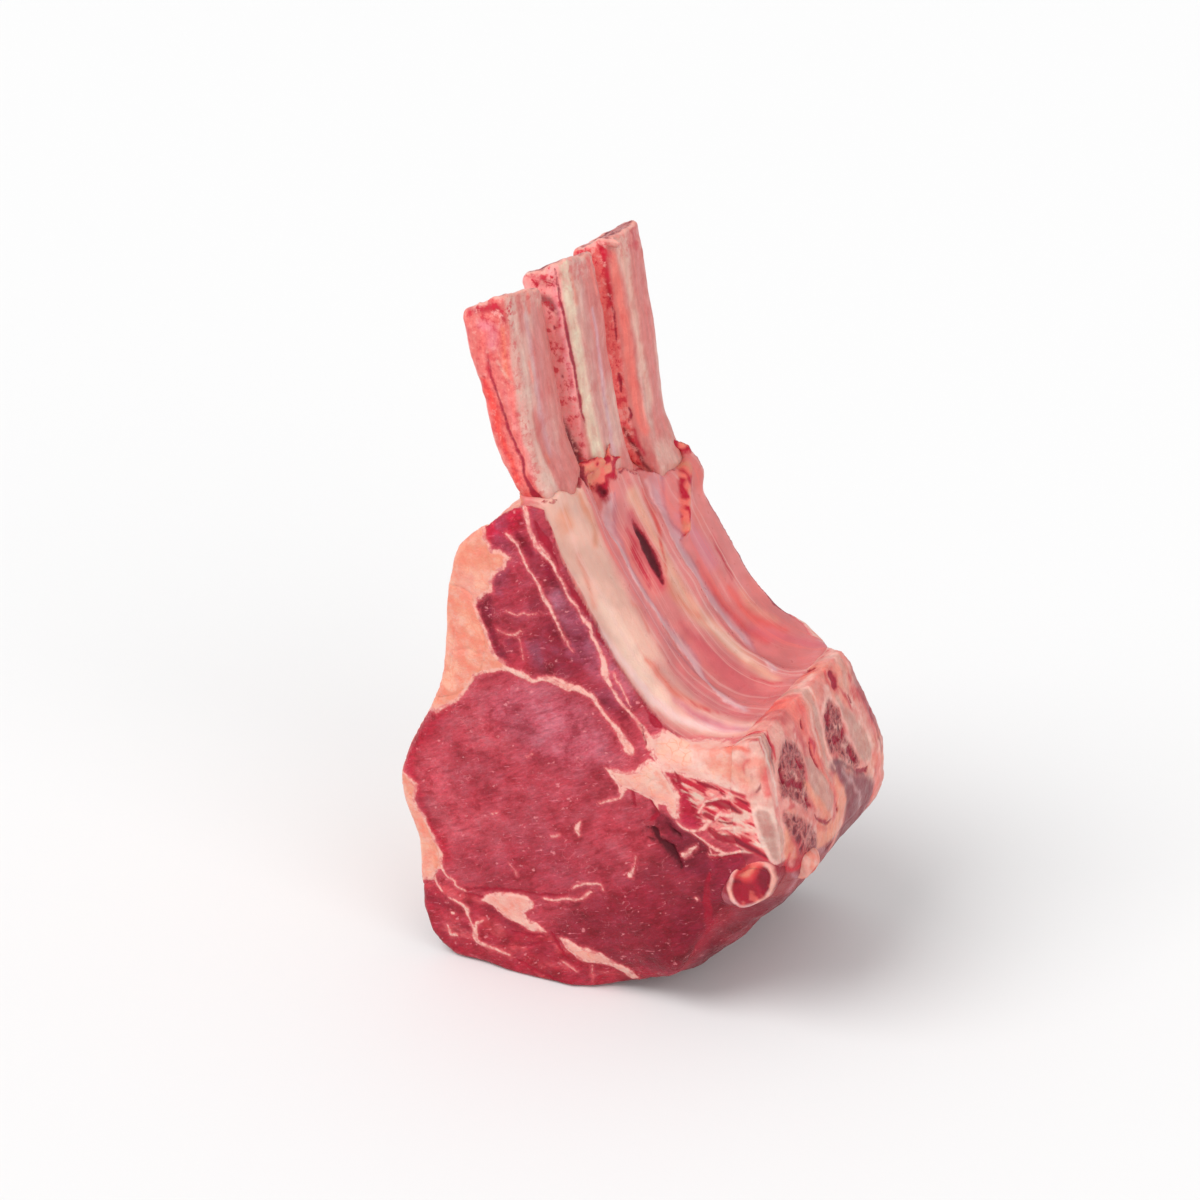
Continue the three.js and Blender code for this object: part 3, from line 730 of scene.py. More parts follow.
# Marks on the fat and gristle round the head of the rib, as (colour, share, softness, line), each line
# in [x, z, half width].
HEAD_MARKS = [
    (linear(240, 198, 186), 0.8, 4,
     [[60, 138, 2], [72, 133, 3], [80, 129, 3], [86, 125, 2.5], [93, 122, 2]]),
    (linear(232, 150, 126), 0.6, 6, [[84, 131, 3], [92, 132, 4], [100, 127, 3]]),
    (linear(222, 126, 112), 0.8, 4, [[96, 133, 2], [100, 136, 2.5], [105, 137, 2.5], [106, 131, 2.5]]),
    (linear(206, 84, 84), 0.8, 2.5, [[98.5, 131, 0.5], [98, 134.5, 0.8], [100, 137.5, 0.7]]),
    (linear(222, 104, 88), 0.85, 2.5,
     [[84, 140.5, 0.6], [90, 141, 1.3], [96, 141.8, 1.5], [100, 142, 0.6]]),
    (linear(222, 104, 88), 0.6, 3, [[78, 138.5, 0.4], [84, 139.5, 0.9]]),
    (linear(226, 100, 98), 0.8, 3, [[107.3, 134, 1.2], [107.5, 129, 1.6], [109, 122, 1.6]]),
    (linear(216, 108, 104), 0.6, 3, [[104, 122, 1.2], [101, 119.5, 1]]),
]
# The lower left, the red shreds beside the backbone and the hollow below them.
LOW_LEFT = [
    [-60, 42], [-46, 38], [-30, 36], [-8, 30], [10, 24], [52, 12], [30, 0], [-20, -3], [-58, 0],
    [-70, 24],
]
SHREDS = [[68, 124], [98, 122], [112, 118], [112, 92], [104, 92], [94, 96], [84, 98], [76, 110]]
HOLLOW = [
    [57, 104], [65.5, 101.5], [69.5, 98], [80, 93], [83, 86], [83, 75], [76.5, 76], [70, 75], [65, 82],
    [62, 92], [57, 95],
]
# Colours inside outlines of the cut face: (colour, share, softness, outline of [x, z]).
FACE_AREAS = [
    # painted sheen: a broad lilac highlight over the top of the round muscle
    (linear(196, 104, 122), 0.4, 16,
     [[-10, 150], [20, 150], [36, 130], [20, 116], [-8, 122], [-24, 134]]),
    (linear(158, 40, 58), 0.55, 24,
     [[-40, 58], [-10, 74], [30, 80], [60, 60], [60, 30], [20, 46], [-20, 44]]),
    (MUSCLE_DARK, 0.85, 12,
     [[40, 60], [60, 88], [84, 92], [104, 80], [92, 60], [80, 30], [60, 14], [20, 12], [0, 24],
      [20, 46]]),
    (linear(120, 10, 32), 0.75, 10,
     [[64, 46], [80, 74], [100, 76], [98, 58], [84, 34], [66, 22], [50, 22]]),
    (linear(166, 30, 50), 0.85, 8, LOW_LEFT),
    (linear(166, 46, 64), 0.8, 6, UPPER_MUSCLE),
    (linear(200, 22, 56), 0.9, 3,
     [[-30, 215], [-20, 229], [-12, 235], [-6, 234], [-7, 227.5], [-11, 224], [-15, 218], [-16, 213]]),
    (linear(134, 14, 42), 0.9, 2,
     [[-30, 187], [-22, 192], [-21.5, 178], [-19, 171], [-12, 162], [-19, 161], [-22, 169], [-28, 180]]),
    (linear(130, 8, 38), 0.9, 2.5, [[-11, 223.5], [-6, 221], [-1, 214], [-4.5, 213], [-10, 217.5]]),
    (linear(130, 8, 38), 0.9, 2.5,
     [[3, 211], [7, 209.5], [11.5, 203], [12.5, 199], [8, 200.5], [4, 206]]),
    # painted sheen: a small lilac highlight on the upper muscle
    (PAINTED_SHEEN, 0.7, 2.5, [[7.5, 198], [11.5, 199], [11.5, 193], [8.5, 191]]),
    (linear(130, 16, 40), 0.7, 6, [[6, 184], [20, 178], [26, 166], [14, 160], [0, 160], [-4, 172]]),
    (linear(202, 52, 72), 0.6, 4, [[-14, 162], [-9, 174], [-4, 170], [-3, 160], [-9, 158]]),
    (linear(206, 108, 126), 0.5, 6,
     [[6, 196], [12, 200], [30, 176], [44, 156], [38, 152], [24, 166], [12, 182]]),
    (PLUM, 0.7, 8, [[10, 190], [18, 192], [28, 172], [32, 160], [24, 166], [14, 176]]),
    (ROSE, 0.95, 3, SHREDS),
    (linear(178, 26, 54), 0.95, 2,
     [[62, 123], [69, 121.5], [76, 113], [80.5, 102], [74, 99], [70, 101.5], [67.5, 111], [65, 118]]),
    (linear(124, 22, 42), 0.9, 3, HOLLOW),
    (linear(142, 24, 48), 0.9, 3,
     [[84, 85.5], [91.5, 89], [103, 90.5], [98, 84.5], [93.5, 77.5], [91, 66.5], [84, 60], [82.5, 72]]),
]
# Red flesh among the fat.
RED_BITS = [
    [[77, 122, 1], [81.5, 121, 1.5], [86, 120, 0.8]],
    [[81.5, 112, 1.5], [86, 113.5, 2.2], [90.5, 113.5, 2.4], [97, 111.5, 1.2]],
    [[81.5, 107, 1.8], [84.5, 105.5, 1.8]],
    [[95, 117.5, 1.2], [100, 116, 1.5]],
    [[88, 104.5, 1], [94.5, 105, 0.8]],
    [[83, 99.5, 1.6], [88.5, 97, 2.4], [94, 97.5, 2.4], [101.5, 95, 2], [109, 91, 1.6]],
    [[87, 119, 0.8], [89.5, 117.5, 1]],
    [[92.5, 120.5, 0.8], [98.5, 119.5, 1]],
    [[56, 108, 1.2], [58, 103, 1.6], [56, 99, 1.4]],
    [[52, 134, 1.2], [50.5, 139, 1], [49.5, 143, 0.8]],
    [[66, 126, 0.6], [69, 121, 1.6]],
]

# ---- what is drawn on the chest side and on the sawn backbone -------------------------------------

# Marks on the chest side are (colour, share, softness, line), each line in [y, w, half width]. w is z - x,
# which falls all the way down the hollow of that side. The two bands lie between the ribs.
BAND_1 = [
    [57, 214, 1.4], [55, 207, 1.8], [49.5, 185, 2], [46.5, 159, 2.2], [49, 134, 2.2], [53, 117, 2.2],
    [54, 99, 2.2], [44, 78, 1.8], [37, 58, 1.2],
]
BAND_2 = [
    [101, 208, 1.8], [100, 200, 2], [93.5, 179, 2.6], [92.5, 156, 2.8], [93, 129, 3], [97, 107, 2.8],
    [96, 86, 2.4], [80, 62, 1.6],
]


def beside(line, shift, half):
    return [[y + shift, w, half] for y, w, _ in line]


LINING_MARKS = [
    # over the first rib
    (linear(230, 184, 166), 0.9, 12,
     [[22, 228, 18], [20, 205, 17], [18, 180, 16], [17, 155, 15], [17, 134, 15], [18, 112, 14],
      [20, 88, 12], [22, 64, 9], [22, 50, 7]]),
    (linear(208, 126, 130), 0.45, 8, [[24, 112, 6], [25, 92, 8], [26, 72, 8], [27, 56, 6]]),
    (linear(238, 202, 184), 0.7, 6,
     [[13, 165, 4], [14, 150, 5], [14.5, 134, 6], [12, 112, 6], [13, 95, 5]]),
    (linear(238, 200, 196), 0.85, 4,
     [[2, 156, 1.4], [6, 135, 2], [7.4, 125, 2.2], [8.5, 104, 2.6], [13, 83, 2.6], [18.4, 65, 2.4],
      [20, 52, 2]]),
    (linear(224, 140, 108), 0.8, 6, [[15.3, 224, 3], [15.3, 215, 3]]),
    (linear(224, 136, 106), 0.8, 6, [[31.8, 225, 2.4], [32, 216, 3], [33, 206, 2.4], [29, 197, 2]]),
    (linear(224, 128, 108), 0.7, 4, [[15, 198, 0.8], [12, 182.5, 1.2], [7, 167, 0.8]]),
    (linear(218, 104, 90), 0.7, 3, [[32, 154, 0.6], [35, 145, 1.1], [32, 134, 1]]),
    (linear(220, 106, 88), 0.85, 4,
     [[20, 122, 0.6], [21.4, 118, 1.1], [22.2, 101.6, 1.8], [23.8, 85, 1.6], [27, 73, 1.2]]),
    (linear(200, 40, 60), 0.7, 1.8, [[23, 88, 0.3], [25.5, 76, 0.7], [30, 64, 0.7], [35, 54, 0.4]]),
    (linear(194, 100, 122), 0.75, 4, [[19, 92, 0.6], [20.5, 75, 1.6], [21, 62, 1.8], [20, 50, 1.6]]),
    # between the first and the second
    (linear(196, 112, 118), 0.6, 6,
     [[41, 200, 3], [41, 180, 3], [39, 150, 3], [41, 120, 3], [42, 100, 3]]),
    (linear(160, 90, 104), 0.6, 4, [[40.8, 122, 0.6], [47, 102, 1.8], [48, 84, 1.4]]),
    (linear(212, 166, 170), 0.95, 2.5, BAND_1),
    # painted highlight: a whitish line on the near side of the band, and painted shadow: a darker line on
    # its far side
    (linear(240, 204, 204), 0.7, 1.6, beside(BAND_1, -2.2, 0.4)),
    (linear(186, 118, 134), 0.7, 2, beside(BAND_1, 2.8, 0.6)),
    # over the second rib
    (linear(228, 168, 146), 0.9, 7,
     [[73, 205, 5], [73, 180, 4.5], [70, 150, 5.5], [71, 128, 6], [76, 110, 5.5], [79, 92, 5],
      [76, 75, 3.5], [72, 58, 2.5]]),
    (linear(222, 120, 96), 0.7, 4, [[64, 150, 1.2], [67, 132, 2.2], [72, 119, 1.6]]),
    (linear(236, 196, 178), 0.7, 4, [[76, 112, 1.6], [79, 95, 2], [77, 78, 1.4]]),
    (linear(202, 60, 80), 0.6, 4, [[60, 124, 0.5], [64, 100, 1], [66, 80, 0.8]]),
    (linear(206, 156, 162), 0.95, 2.5, BAND_2),
    # painted highlight: a whitish line on the near side of the band, and painted shadow: a darker line on
    # its far side
    (linear(240, 202, 202), 0.7, 1.6, beside(BAND_2, -3, 0.5)),
    (linear(180, 110, 128), 0.7, 2, beside(BAND_2, 3.4, 0.6)),
    # lower down, near the backbone
    (linear(204, 104, 108), 0.75, 6, [[33, 122, 1], [34, 100, 4], [33, 80, 5], [32, 62, 4], [30, 50, 4]]),
    (linear(196, 92, 98), 0.75, 6, [[60, 118, 1], [63, 98, 4], [63, 80, 5], [58, 62, 4], [54, 50, 3]]),
    (linear(204, 104, 104), 0.7, 6, [[88, 110, 1], [88, 92, 3], [90, 76, 5], [88, 60, 5]]),
    # round the slit
    (linear(206, 70, 86), 0.8, 6, [[66, 196, 3], [65.4, 180, 5], [64, 166, 5], [61, 150, 2.5]]),
    (linear(200, 30, 60), 0.9, 2.5,
     [[59.2, 192, 0.6], [57.8, 180, 1.8], [56.3, 166, 1.8], [55.5, 154, 0.8]]),
    (linear(218, 74, 66), 0.9, 2.5,
     [[82, 205, 1], [82, 190, 1.6], [79.8, 178, 1.6], [72, 164, 1.2], [68, 154, 0.6]]),
    # between the second and the third, and over the third
    (linear(214, 76, 78), 0.75, 4,
     [[99.4, 146, 0.8], [99.6, 118.5, 2], [101.3, 95, 2], [104.3, 76, 1.2]]),
    (linear(212, 132, 146), 0.8, 8, [[103, 176, 3], [106.3, 153, 4], [105.8, 138, 3]]),
    (linear(196, 30, 56), 0.8, 2.5, [[115.5, 153, 0.6], [115, 138, 1.6], [112.9, 123, 0.8]]),
    (linear(218, 84, 78), 0.75, 5, [[107.6, 120, 1], [108.4, 96, 2.4], [114.1, 75, 2]]),
    (linear(232, 150, 126), 0.6, 6, [[113, 112, 2], [113, 98, 2], [117, 84, 2]]),
    (linear(200, 40, 60), 0.7, 2, [[66, 72, 0.4], [66.7, 66, 0.9], [68.5, 54, 0.7]]),
    (linear(206, 96, 110), 0.6, 6, [[104, 90, 2], [110.7, 67, 3], [112, 52, 3]]),
    (linear(172, 14, 42), 0.9, 2.5, [[40, 236, 1], [46, 232, 2.4], [54, 225, 2.4], [56, 213, 1.2]]),
]
# The open slit between the first two ribs.
SLIT = [[65.5, 194, 0.8], [65.4, 182, 3], [64.5, 170, 3.6], [63.6, 160, 2.6], [62, 150, 0.6]]
# Where the lining ends at the bare ribs, as [y, z].
LINING_TOP = [
    [-10, 238], [6, 236], [12, 234], [18, 236], [24, 234], [30, 230], [36, 233], [41, 236], [47, 231],
    [53, 225], [60, 228], [66, 231], [70, 227], [75, 227], [82, 222], [88, 219.5], [94, 217.5],
    [100, 217], [106, 212], [112, 213], [122, 210], [145, 208],
]

# The spongy bone that the sawing has opened, as outlines of [y, z].
SPONGE = [
    [[18.5, 138], [28.5, 134], [33, 127], [31, 118], [29, 106], [26, 103.5], [21, 109], [15, 115],
     [10.5, 117], [10.5, 124], [12.5, 130]],
    [[70, 135.5], [76, 130], [77, 121], [78, 115], [83, 106.5], [87, 98.5], [79, 99.5], [71, 107],
     [65, 113], [60, 115.5], [59.5, 122], [61, 129], [64, 133]],
    [[9, 111], [20, 102.5], [32, 91.5], [34, 82], [20, 85], [14, 95], [9, 103]],
]
# The sawn backbone's areas: (colour, share, softness, outline of [y, z]).
CHINE_AREAS = [
    (ROSE, 0.7, 6, [[-6, 132], [8, 132], [12, 112], [4, 90], [-6, 90]]),
    (PINK_FAT, 0.8, 5,
     [[8, 150], [24, 150], [20, 137], [13, 132], [10, 122], [4, 116], [2, 126], [8, 136]]),
    (MARROW, 0.95, 3, SPONGE[0]),
    (MARROW, 0.95, 3, SPONGE[1]),
    (MARROW, 0.8, 3, SPONGE[2]),
    (linear(128, 48, 62), 0.9, 5,
     [[56, 111], [65, 110], [72, 101], [88, 92], [101, 83], [106, 72], [98, 60], [80, 56], [64, 60],
      [70, 76], [68, 92], [61, 103]]),
    (linear(146, 40, 56), 0.85, 4,
     [[-6, 90], [8, 88], [20, 85], [32, 86], [48, 79], [60, 74], [50, 60], [10, 52], [-8, 56]]),
    (CARTILAGE, 0.95, 2,
     [[52, 147], [56, 146], [57.5, 134], [57, 124], [55.5, 112], [52.5, 112], [53, 126], [52.5, 138]]),
    (CARTILAGE, 0.95, 2,
     [[35, 124], [44, 119.5], [54.5, 107], [53, 98], [50, 91.5], [41, 99], [34.5, 112]]),
    (CARTILAGE, 0.95, 2.5,
     [[77, 135], [86, 125], [94, 114.5], [99.5, 105.5], [99, 96], [90, 98], [84.5, 108], [80, 119]]),
    (CARTILAGE, 0.7, 3, [[90, 147], [93, 143], [91, 132], [88, 128], [87, 136]]),
    (CARTILAGE, 0.95, 2, [[3, 148], [8, 147], [7, 138], [5.5, 132], [3.5, 134], [4, 142]]),
    (CARTILAGE, 0.95, 2, [[-6, 114], [1, 112], [5.5, 103], [5.5, 95], [3, 89], [-6, 88]]),
    (linear(190, 58, 66), 0.6, 4,
     [[11, 148], [20, 146], [34, 140], [36, 128], [34, 116], [37, 122], [39, 146], [30, 149]]),
    (linear(186, 50, 62), 0.8, 3, [[8, 98], [14, 96], [24, 86], [22, 80], [8, 82]]),
    (PEACH, 0.9, 3, [[28, 115], [35, 103], [44, 92], [50, 89], [46, 96], [38, 106], [33, 114]]),
    (PEACH, 0.9, 3, [[56, 106], [62, 101], [70, 88], [66, 80], [58, 82], [56, 92]]),
    (PEACH, 0.9, 3, [[36, 94], [50, 87], [62, 84], [62, 78], [50, 76], [36, 80]]),
    (PEACH, 0.9, 3, [[8, 103], [12, 94], [15, 86], [8, 88], [6, 96]]),
    (SALMON, 0.8, 4, [[100, 98], [110, 92], [114, 78], [108, 70], [104, 76], [106, 86]]),
    (CRIMSON, 0.7, 2, [[40, 145], [45, 143], [45.5, 130], [48, 114], [44.5, 116], [42, 126], [39, 138]]),
    (SALMON, 0.8, 4, [[34, 146], [47, 146], [48, 128], [50, 112], [45, 116], [40, 128]]),
    (linear(164, 84, 92), 0.7, 4,
     [[98, 142], [112, 134], [122, 108], [128, 86], [120, 84], [112, 104], [102, 122]]),
]
CHINE_SPOTS = [
    [[80, 143, 2], [79.5, 139, 2.4]], [[40.5, 138.5, 0.9], [41, 136.5, 0.7]],
    [[43.5, 127, 0.7], [43, 123, 0.9], [46, 115, 0.4]], [[82, 97, 0.8], [86, 95, 1], [94, 92, 1]],
    [[33.5, 98, 0.4], [44, 89, 0.9], [50, 88, 0.6]], [[56, 92, 0.6], [59, 88.5, 0.8]],
    [[50, 71.5, 1], [58, 70.5, 1.2]], [[9.5, 146, 0.3], [10, 142, 0.6], [9, 136, 0.4]],
    [[31, 104, 0.8], [28, 107, 0.9]], [[66, 119, 1.2], [68, 117, 1]], [[77, 109, 1.2], [80, 105, 1]],
    [[89, 130, 0.5], [90.5, 126, 0.6]],
]
# Lines there: (colour, share, softness, line of [y, z, half width]).
CHINE_LINES = [
    (linear(232, 190, 180), 0.9, 1.5,
     [[5, 147, 0.6], [4, 140, 0.8], [5, 132.5, 0.8], [6.7, 123.4, 1], [6.3, 115.7, 1.2]]),
    (linear(150, 96, 96), 0.8, 1.5, [[7.8, 143, 0.5], [7.5, 138, 1], [7.6, 132, 0.6], [8.5, 128, 0.3]]),
    (linear(206, 40, 60), 0.9, 1.2,
     [[11.3, 146.4, 0.4], [10, 142.6, 1], [10.7, 137.3, 0.8], [10.5, 133, 0.4]]),
    (linear(226, 150, 140), 0.8, 2,
     [[8.5, 112, 0.8], [9, 118, 0.9], [9.4, 124, 0.9], [11, 131, 0.8], [17, 138.5, 0.8],
      [26, 136.5, 0.6]]),
    (linear(234, 176, 164), 0.8, 1.6,
     [[51.5, 146, 0.5], [51, 136, 0.7], [50.6, 128, 0.7], [50.8, 118, 0.9]]),
    (linear(234, 176, 164), 0.8, 1.6,
     [[58.4, 144, 0.4], [59, 134, 0.7], [58, 124, 0.9], [58.5, 114, 0.9], [60, 108, 0.6]]),
    (linear(230, 160, 150), 0.8, 2,
     [[70, 137, 0.6], [77, 132, 0.9], [79.5, 121, 0.9], [82, 113, 0.9], [86, 105, 0.8]]),
    (linear(234, 170, 160), 0.7, 2, [[86, 133, 0.7], [92, 125, 1.2], [97, 115, 1], [100.5, 105, 0.8]]),
    (linear(222, 96, 92), 0.8, 3, [[42.5, 143.5, 1.6], [44.5, 140.5, 2], [42.6, 134, 1.6]]),
    (linear(202, 24, 56), 0.9, 1.5, [[44.5, 128.6, 1], [47, 125.3, 1.5], [46, 122, 0.8]]),
    (linear(226, 110, 100), 0.8, 2.5, [[49, 118, 1], [50, 108, 1.2], [55, 100, 1.2], [57, 92, 0.8]]),
    (linear(196, 30, 56), 0.85, 1.2,
     [[82, 137, 0.5], [84.8, 134, 0.4], [88, 126.5, 0.8], [89.4, 122, 0.3]]),
    (linear(216, 70, 74), 0.8, 2, [[76, 146, 0.8], [74.5, 142, 0.8], [77.5, 137.5, 0.6]]),
    (linear(206, 84, 84), 0.7, 2.5,
     [[94, 138, 0.8], [98, 130, 1], [103, 120, 1], [106, 110, 1], [107, 98, 1.2]]),
    (linear(150, 30, 50), 0.8, 2, [[100, 128, 0.6], [106, 116, 1.2], [110, 104, 1], [113, 92, 0.6]]),
    (linear(206, 150, 150), 0.7, 2.5, [[66, 104, 0.5], [76, 94, 1], [84, 84, 1], [90, 72, 0.8]]),
    (linear(116, 44, 58), 0.8, 2, [[60, 110, 0.8], [68, 107, 1], [78, 99, 0.8], [90, 91, 0.8]]),
    (linear(214, 96, 88), 0.8, 3, [[22, 106, 0.6], [28, 100, 1], [36, 92, 1], [46, 84, 1.2]]),
    (linear(206, 40, 56), 0.8, 2, [[10, 90, 0.8], [9, 84, 1.4], [14, 80, 1], [22, 81, 0.8]]),
    (linear(222, 140, 132), 0.9, 1.5, [[13, 92, 0.4], [12.5, 87, 0.9], [14, 82, 0.5]]),
    (linear(184, 120, 128), 0.8, 2, [[16, 78, 0.8], [20, 72, 1.4], [18, 66, 0.8]]),
    (linear(176, 106, 116), 0.7, 2, [[32, 82, 0.8], [44, 74, 1], [56, 68, 0.8]]),
]
# Struts and pores inside the spongy bone: lines of [y, z, half width].
STRUTS = [
    [[69, 124.5, 0.4], [73, 122, 0.8], [77, 119.5, 0.5]],
    [[71.5, 114, 0.7], [76, 112, 1], [79.5, 112.6, 0.5]],
    [[72, 106, 0.9], [76, 104, 1], [80, 101, 0.6]],
    [[21, 124, 0.4], [25, 120.5, 0.8], [22, 116, 0.6]],
    [[24, 110, 0.6], [28, 112.5, 0.7]],
]
PORES = [
    [[64.5, 131, 1.2], [65, 127.5, 1.2], [68, 133, 0.5]],
    [[66.5, 118.5, 1.4], [70, 117.5, 1.2]],
    [[74.5, 117, 1.2], [76.5, 118.5, 0.8]],
    [[77.5, 110, 1], [80, 106, 1.4], [82.5, 102, 0.8]],
    [[13, 128, 1], [13.5, 122, 1]],
    [[16, 120, 1.2], [21.5, 119, 1.2], [26, 115.5, 1.2]],
    [[27, 109, 1], [29, 105, 1.2]],
    [[28.5, 127, 0.6], [30, 122, 0.8]],
]
# The round bone below the backbone, seen from the front: its hollow and the red flesh over it, in [x, z].
RING = [
    [94.8, 70], [95.2, 77.2], [99, 84], [105.3, 86.2], [110.8, 84.8], [111.2, 79.5], [107.6, 72.2],
    [99.2, 65.6],
]
RING_TOP = [[94.5, 79], [98.5, 84.5], [102, 88.5], [107.5, 88], [106, 84.5], [103, 78.5], [98, 76.5]]


def soft(distance, width):
    """1 inside an area and 0 outside it, over width millimetres."""
    return smooth(width / 2, -width / 2, distance)


def tinted(tint, colour, share):
    """The tint of each point, with its share of the colour over it."""
    return mix(tint, colour, np.clip(share, 0, 1)[:, None])


def wavy(at, places, amount, size, seed):
    """Positions on a face moved a little, so that what is drawn there has uneven edges."""
    shift = np.stack([noise(places, size, seed), noise(places, size, seed + 1)], 1)
    return at + amount * shift


def draw_lines(tint, at, marks):
    for colour, share, width, line in marks:
        tint = tinted(tint, colour, share * soft(stroke(at, line), width))
    return tint


def draw_areas(tint, at, marks):
    for colour, share, width, outline in marks:
        tint = tinted(tint, colour, share * soft(area(at, outline), width))
    return tint


# ---- the pieces ------------------------------------------------------------------------------------

RIBS = ["rib_1", "rib_2", "rib_3"]
DISCS = ["disc_1", "disc_2", "disc_3"]
SAWN = [*DISCS, "vertebra_1", "vertebra_2", "vertebra_3", "feather_bone_1", "feather_bone_2"]
# The chest side of the ribs seen from the front, as [z, x].
RIB_INNER = [
    [330, -14], [308, -11], [285, -7], [260, -3.5], [236, 1.5], [217, 9], [197, 20], [179.5, 31.5],
    [161, 44], [149.5, 55], [142.5, 67], [139.5, 80], [139, 90],
]
# Scraps of flesh: (start, end, radius) in [x, y, z].
SCRAPS = [
    ([-3, 47, 236], [1, 54, 237], 2.2), ([1, 54, 237], [3, 63, 234], 2),
    ([3, 63, 234], [4.5, 71, 234], 1.5), ([0, 56, 231.5], [4, 64, 228.5], 2),
    ([2.5, 64, 234], [1.5, 66, 241], 1.5), ([-4, 50, 230], [2, 57, 226], 2.2),
    ([5, 124, 221], [9, 131, 217], 2.5), ([14, 120, 212], [18, 112, 206], 2.2),
    ([18, 112, 206], [23, 104, 198], 1.9), ([23, 104, 198], [26.5, 98, 191], 1.6),
]
# Gaps between the scraps, in the same way.
POCKETS = [
    ([-4, 43, 240], [3, 44, 232], 2.6), ([2, 47, 232], [4, 55, 222], 1.6),
    ([-6, 89, 242], [0, 90, 233], 2.2), ([0, 90, 233], [8, 92, 221], 1.6),
    ([8, 94, 219], [9.5, 97, 214], 1.2),
]


def rib_side(z):
    """X of the chest side at height z."""
    line = np.array(RIB_INNER)
    return np.interp(z, line[::-1, 0], line[::-1, 1])


def lining_top(y):
    """Height at which the chest lining ends, this far behind the front face."""
    return np.interp(y, *np.array(LINING_TOP).T)


def on_rear_face(x, z):
    """Where the drawing of the cut face has what shows at x, z of the rear one, a little bent."""
    return x + 4 * np.sin(z / 31) + 2, z + 4 * np.sin(x / 27 + 1)


def together(room, fields):
    """All fields as one, with the narrow clefts between them filled."""
    return room.closed(np.minimum.reduce(list(fields.values())), 1.8)


def flush(fields, name, whole):
    """Field of the named piece, whose surface runs on into its neighbours' without a groove.

    whole is the field of all of them together."""
    own = fields[name]
    rest = np.minimum.reduce([field for key, field in fields.items() if key != name])
    return np.maximum(whole + 0.5 * np.clip(own - rest, 0, 3), own - 2)


def from_capsules(points, capsules):
    """Distance of points from capsules given as (start, end, radius), FAR at most."""
    result = np.full(len(points), FAR)
    for start, end, radius in capsules:
        first, along = np.array(start), np.array(end, float) - start
        t = np.clip((points - first) @ along / (along @ along), 0, 1)
        gap = np.linalg.norm(points - first - t[:, None] * along, axis=1) - radius
        result = np.minimum(result, gap)
    return result


def relief(points):
    """Small unevenness that all pieces share, so that they meet without a step."""
    return 0.32 * noise(points, 6, 21) + 0.14 * noise(points, 2.8, 22)


def lumpy(room, field):
    """Field with the broad unevenness of soft meat."""
    return room.roughen(field, 17, 0.7, 3)


def cut_face(points, x, z):
    """Distances to the pale and the dark marks of a cut face."""
    at = wavy(np.stack([x, z], 1), points, 0.5, 3, 90)
    pale = nearest(at, *SEAMS) + 0.2
    for outline in (KNOT, ISLAND, LOW_STREAK, RIB_HEAD, UPPER_FAT, LOWER_FAT):
        pale = np.minimum(pale, area(at, outline, corners=True))
    red = nearest(at, *RED_BITS)
    meat_of_ribs = stroke(at, RIB_MEAT) + 1.2 * noise(points, 6, 12)
    dark = np.minimum(nearest(at, *BLOOD_LINES), np.maximum(meat_of_ribs, 1.2 - pale))
    dark = np.minimum(dark, red + 0.5)
    pale = np.maximum(pale, -red - 0.8)
    return pale, dark


def face_tint(points, x, z):
    """Colours of the flesh that shows on a cut face."""
    at = wavy(np.stack([x, z], 1), points, 1.2, 6, 91)
    tint = tinted(MUSCLE, MUSCLE_LIGHT, 0.45 * smooth(0.0, 0.7, fractal(points, 24, 5)))
    tint = tinted(tint, linear(178, 18, 46), 0.9 * soft(nearest(at, *EDGES) - 0.5, 7))
    tint = draw_areas(tint, at, FACE_AREAS)
    upper = soft(area(at, UPPER_MUSCLE), 5)
    tint = tinted(tint, PLUM, 0.6 * upper * smooth(0.1, 0.6, fractal(points, 9, 15)))
    tint = tinted(tint, MAROON, 0.5 * upper * smooth(0.1, 0.8, fractal(points, 10, 35)))
    across = np.stack([(x * 0.94 - z * 0.34) / 3.5, x * 0.34 + z * 0.94, points[:, 1] / 3], 1)
    streaky = fractal(across, 1.9, 57)
    shreds = soft(area(at, SHREDS), 5)
    tint = tinted(tint, CRIMSON, 0.95 * shreds * smooth(0.1, 0.5, streaky))
    tint = tinted(tint, CREAM, 0.95 * shreds * smooth(-0.15, -0.5, streaky))
    low = soft(area(at, LOW_LEFT), 5)
    flat = points * [0.6, 1, 1.4]
    tint = tinted(tint, MAROON, 0.5 * low * smooth(0.1, 0.8, fractal(flat, 8, 36)))
    return tinted(tint, linear(222, 86, 92), 0.5 * low * smooth(0.2, 0.9, fractal(flat, 7, 37)))


def fat_tint(points, x, z):
    """Colours of the fat that shows on a cut face."""
    at = wavy(np.stack([x, z], 1), points, 0.8, 5, 97)
    tint = tinted(PINK_FAT, CREAM, smooth(-0.2, 0.5, noise(points, 12, 54)))
    caps = np.minimum(area(at, UPPER_FAT, corners=True), area(at, LOWER_FAT, corners=True))
    tint = tinted(tint, PEACH, soft(caps, 4))
    tint = tinted(tint, linear(228, 172, 160), 0.8 * soft(area(at, RIB_HEAD), 4))
    return draw_lines(tint, at, HEAD_MARKS)


def side_fat(points):
    """Colours of the fat on the outer side."""
    tint = tinted(PEACH, linear(232, 158, 142), 0.8 * smooth(-0.2, 0.7, noise(points, 16, 52)))
    return tinted(tint, ORANGE, 0.35 * smooth(0.2, 0.9, noise(points, 12, 53)))


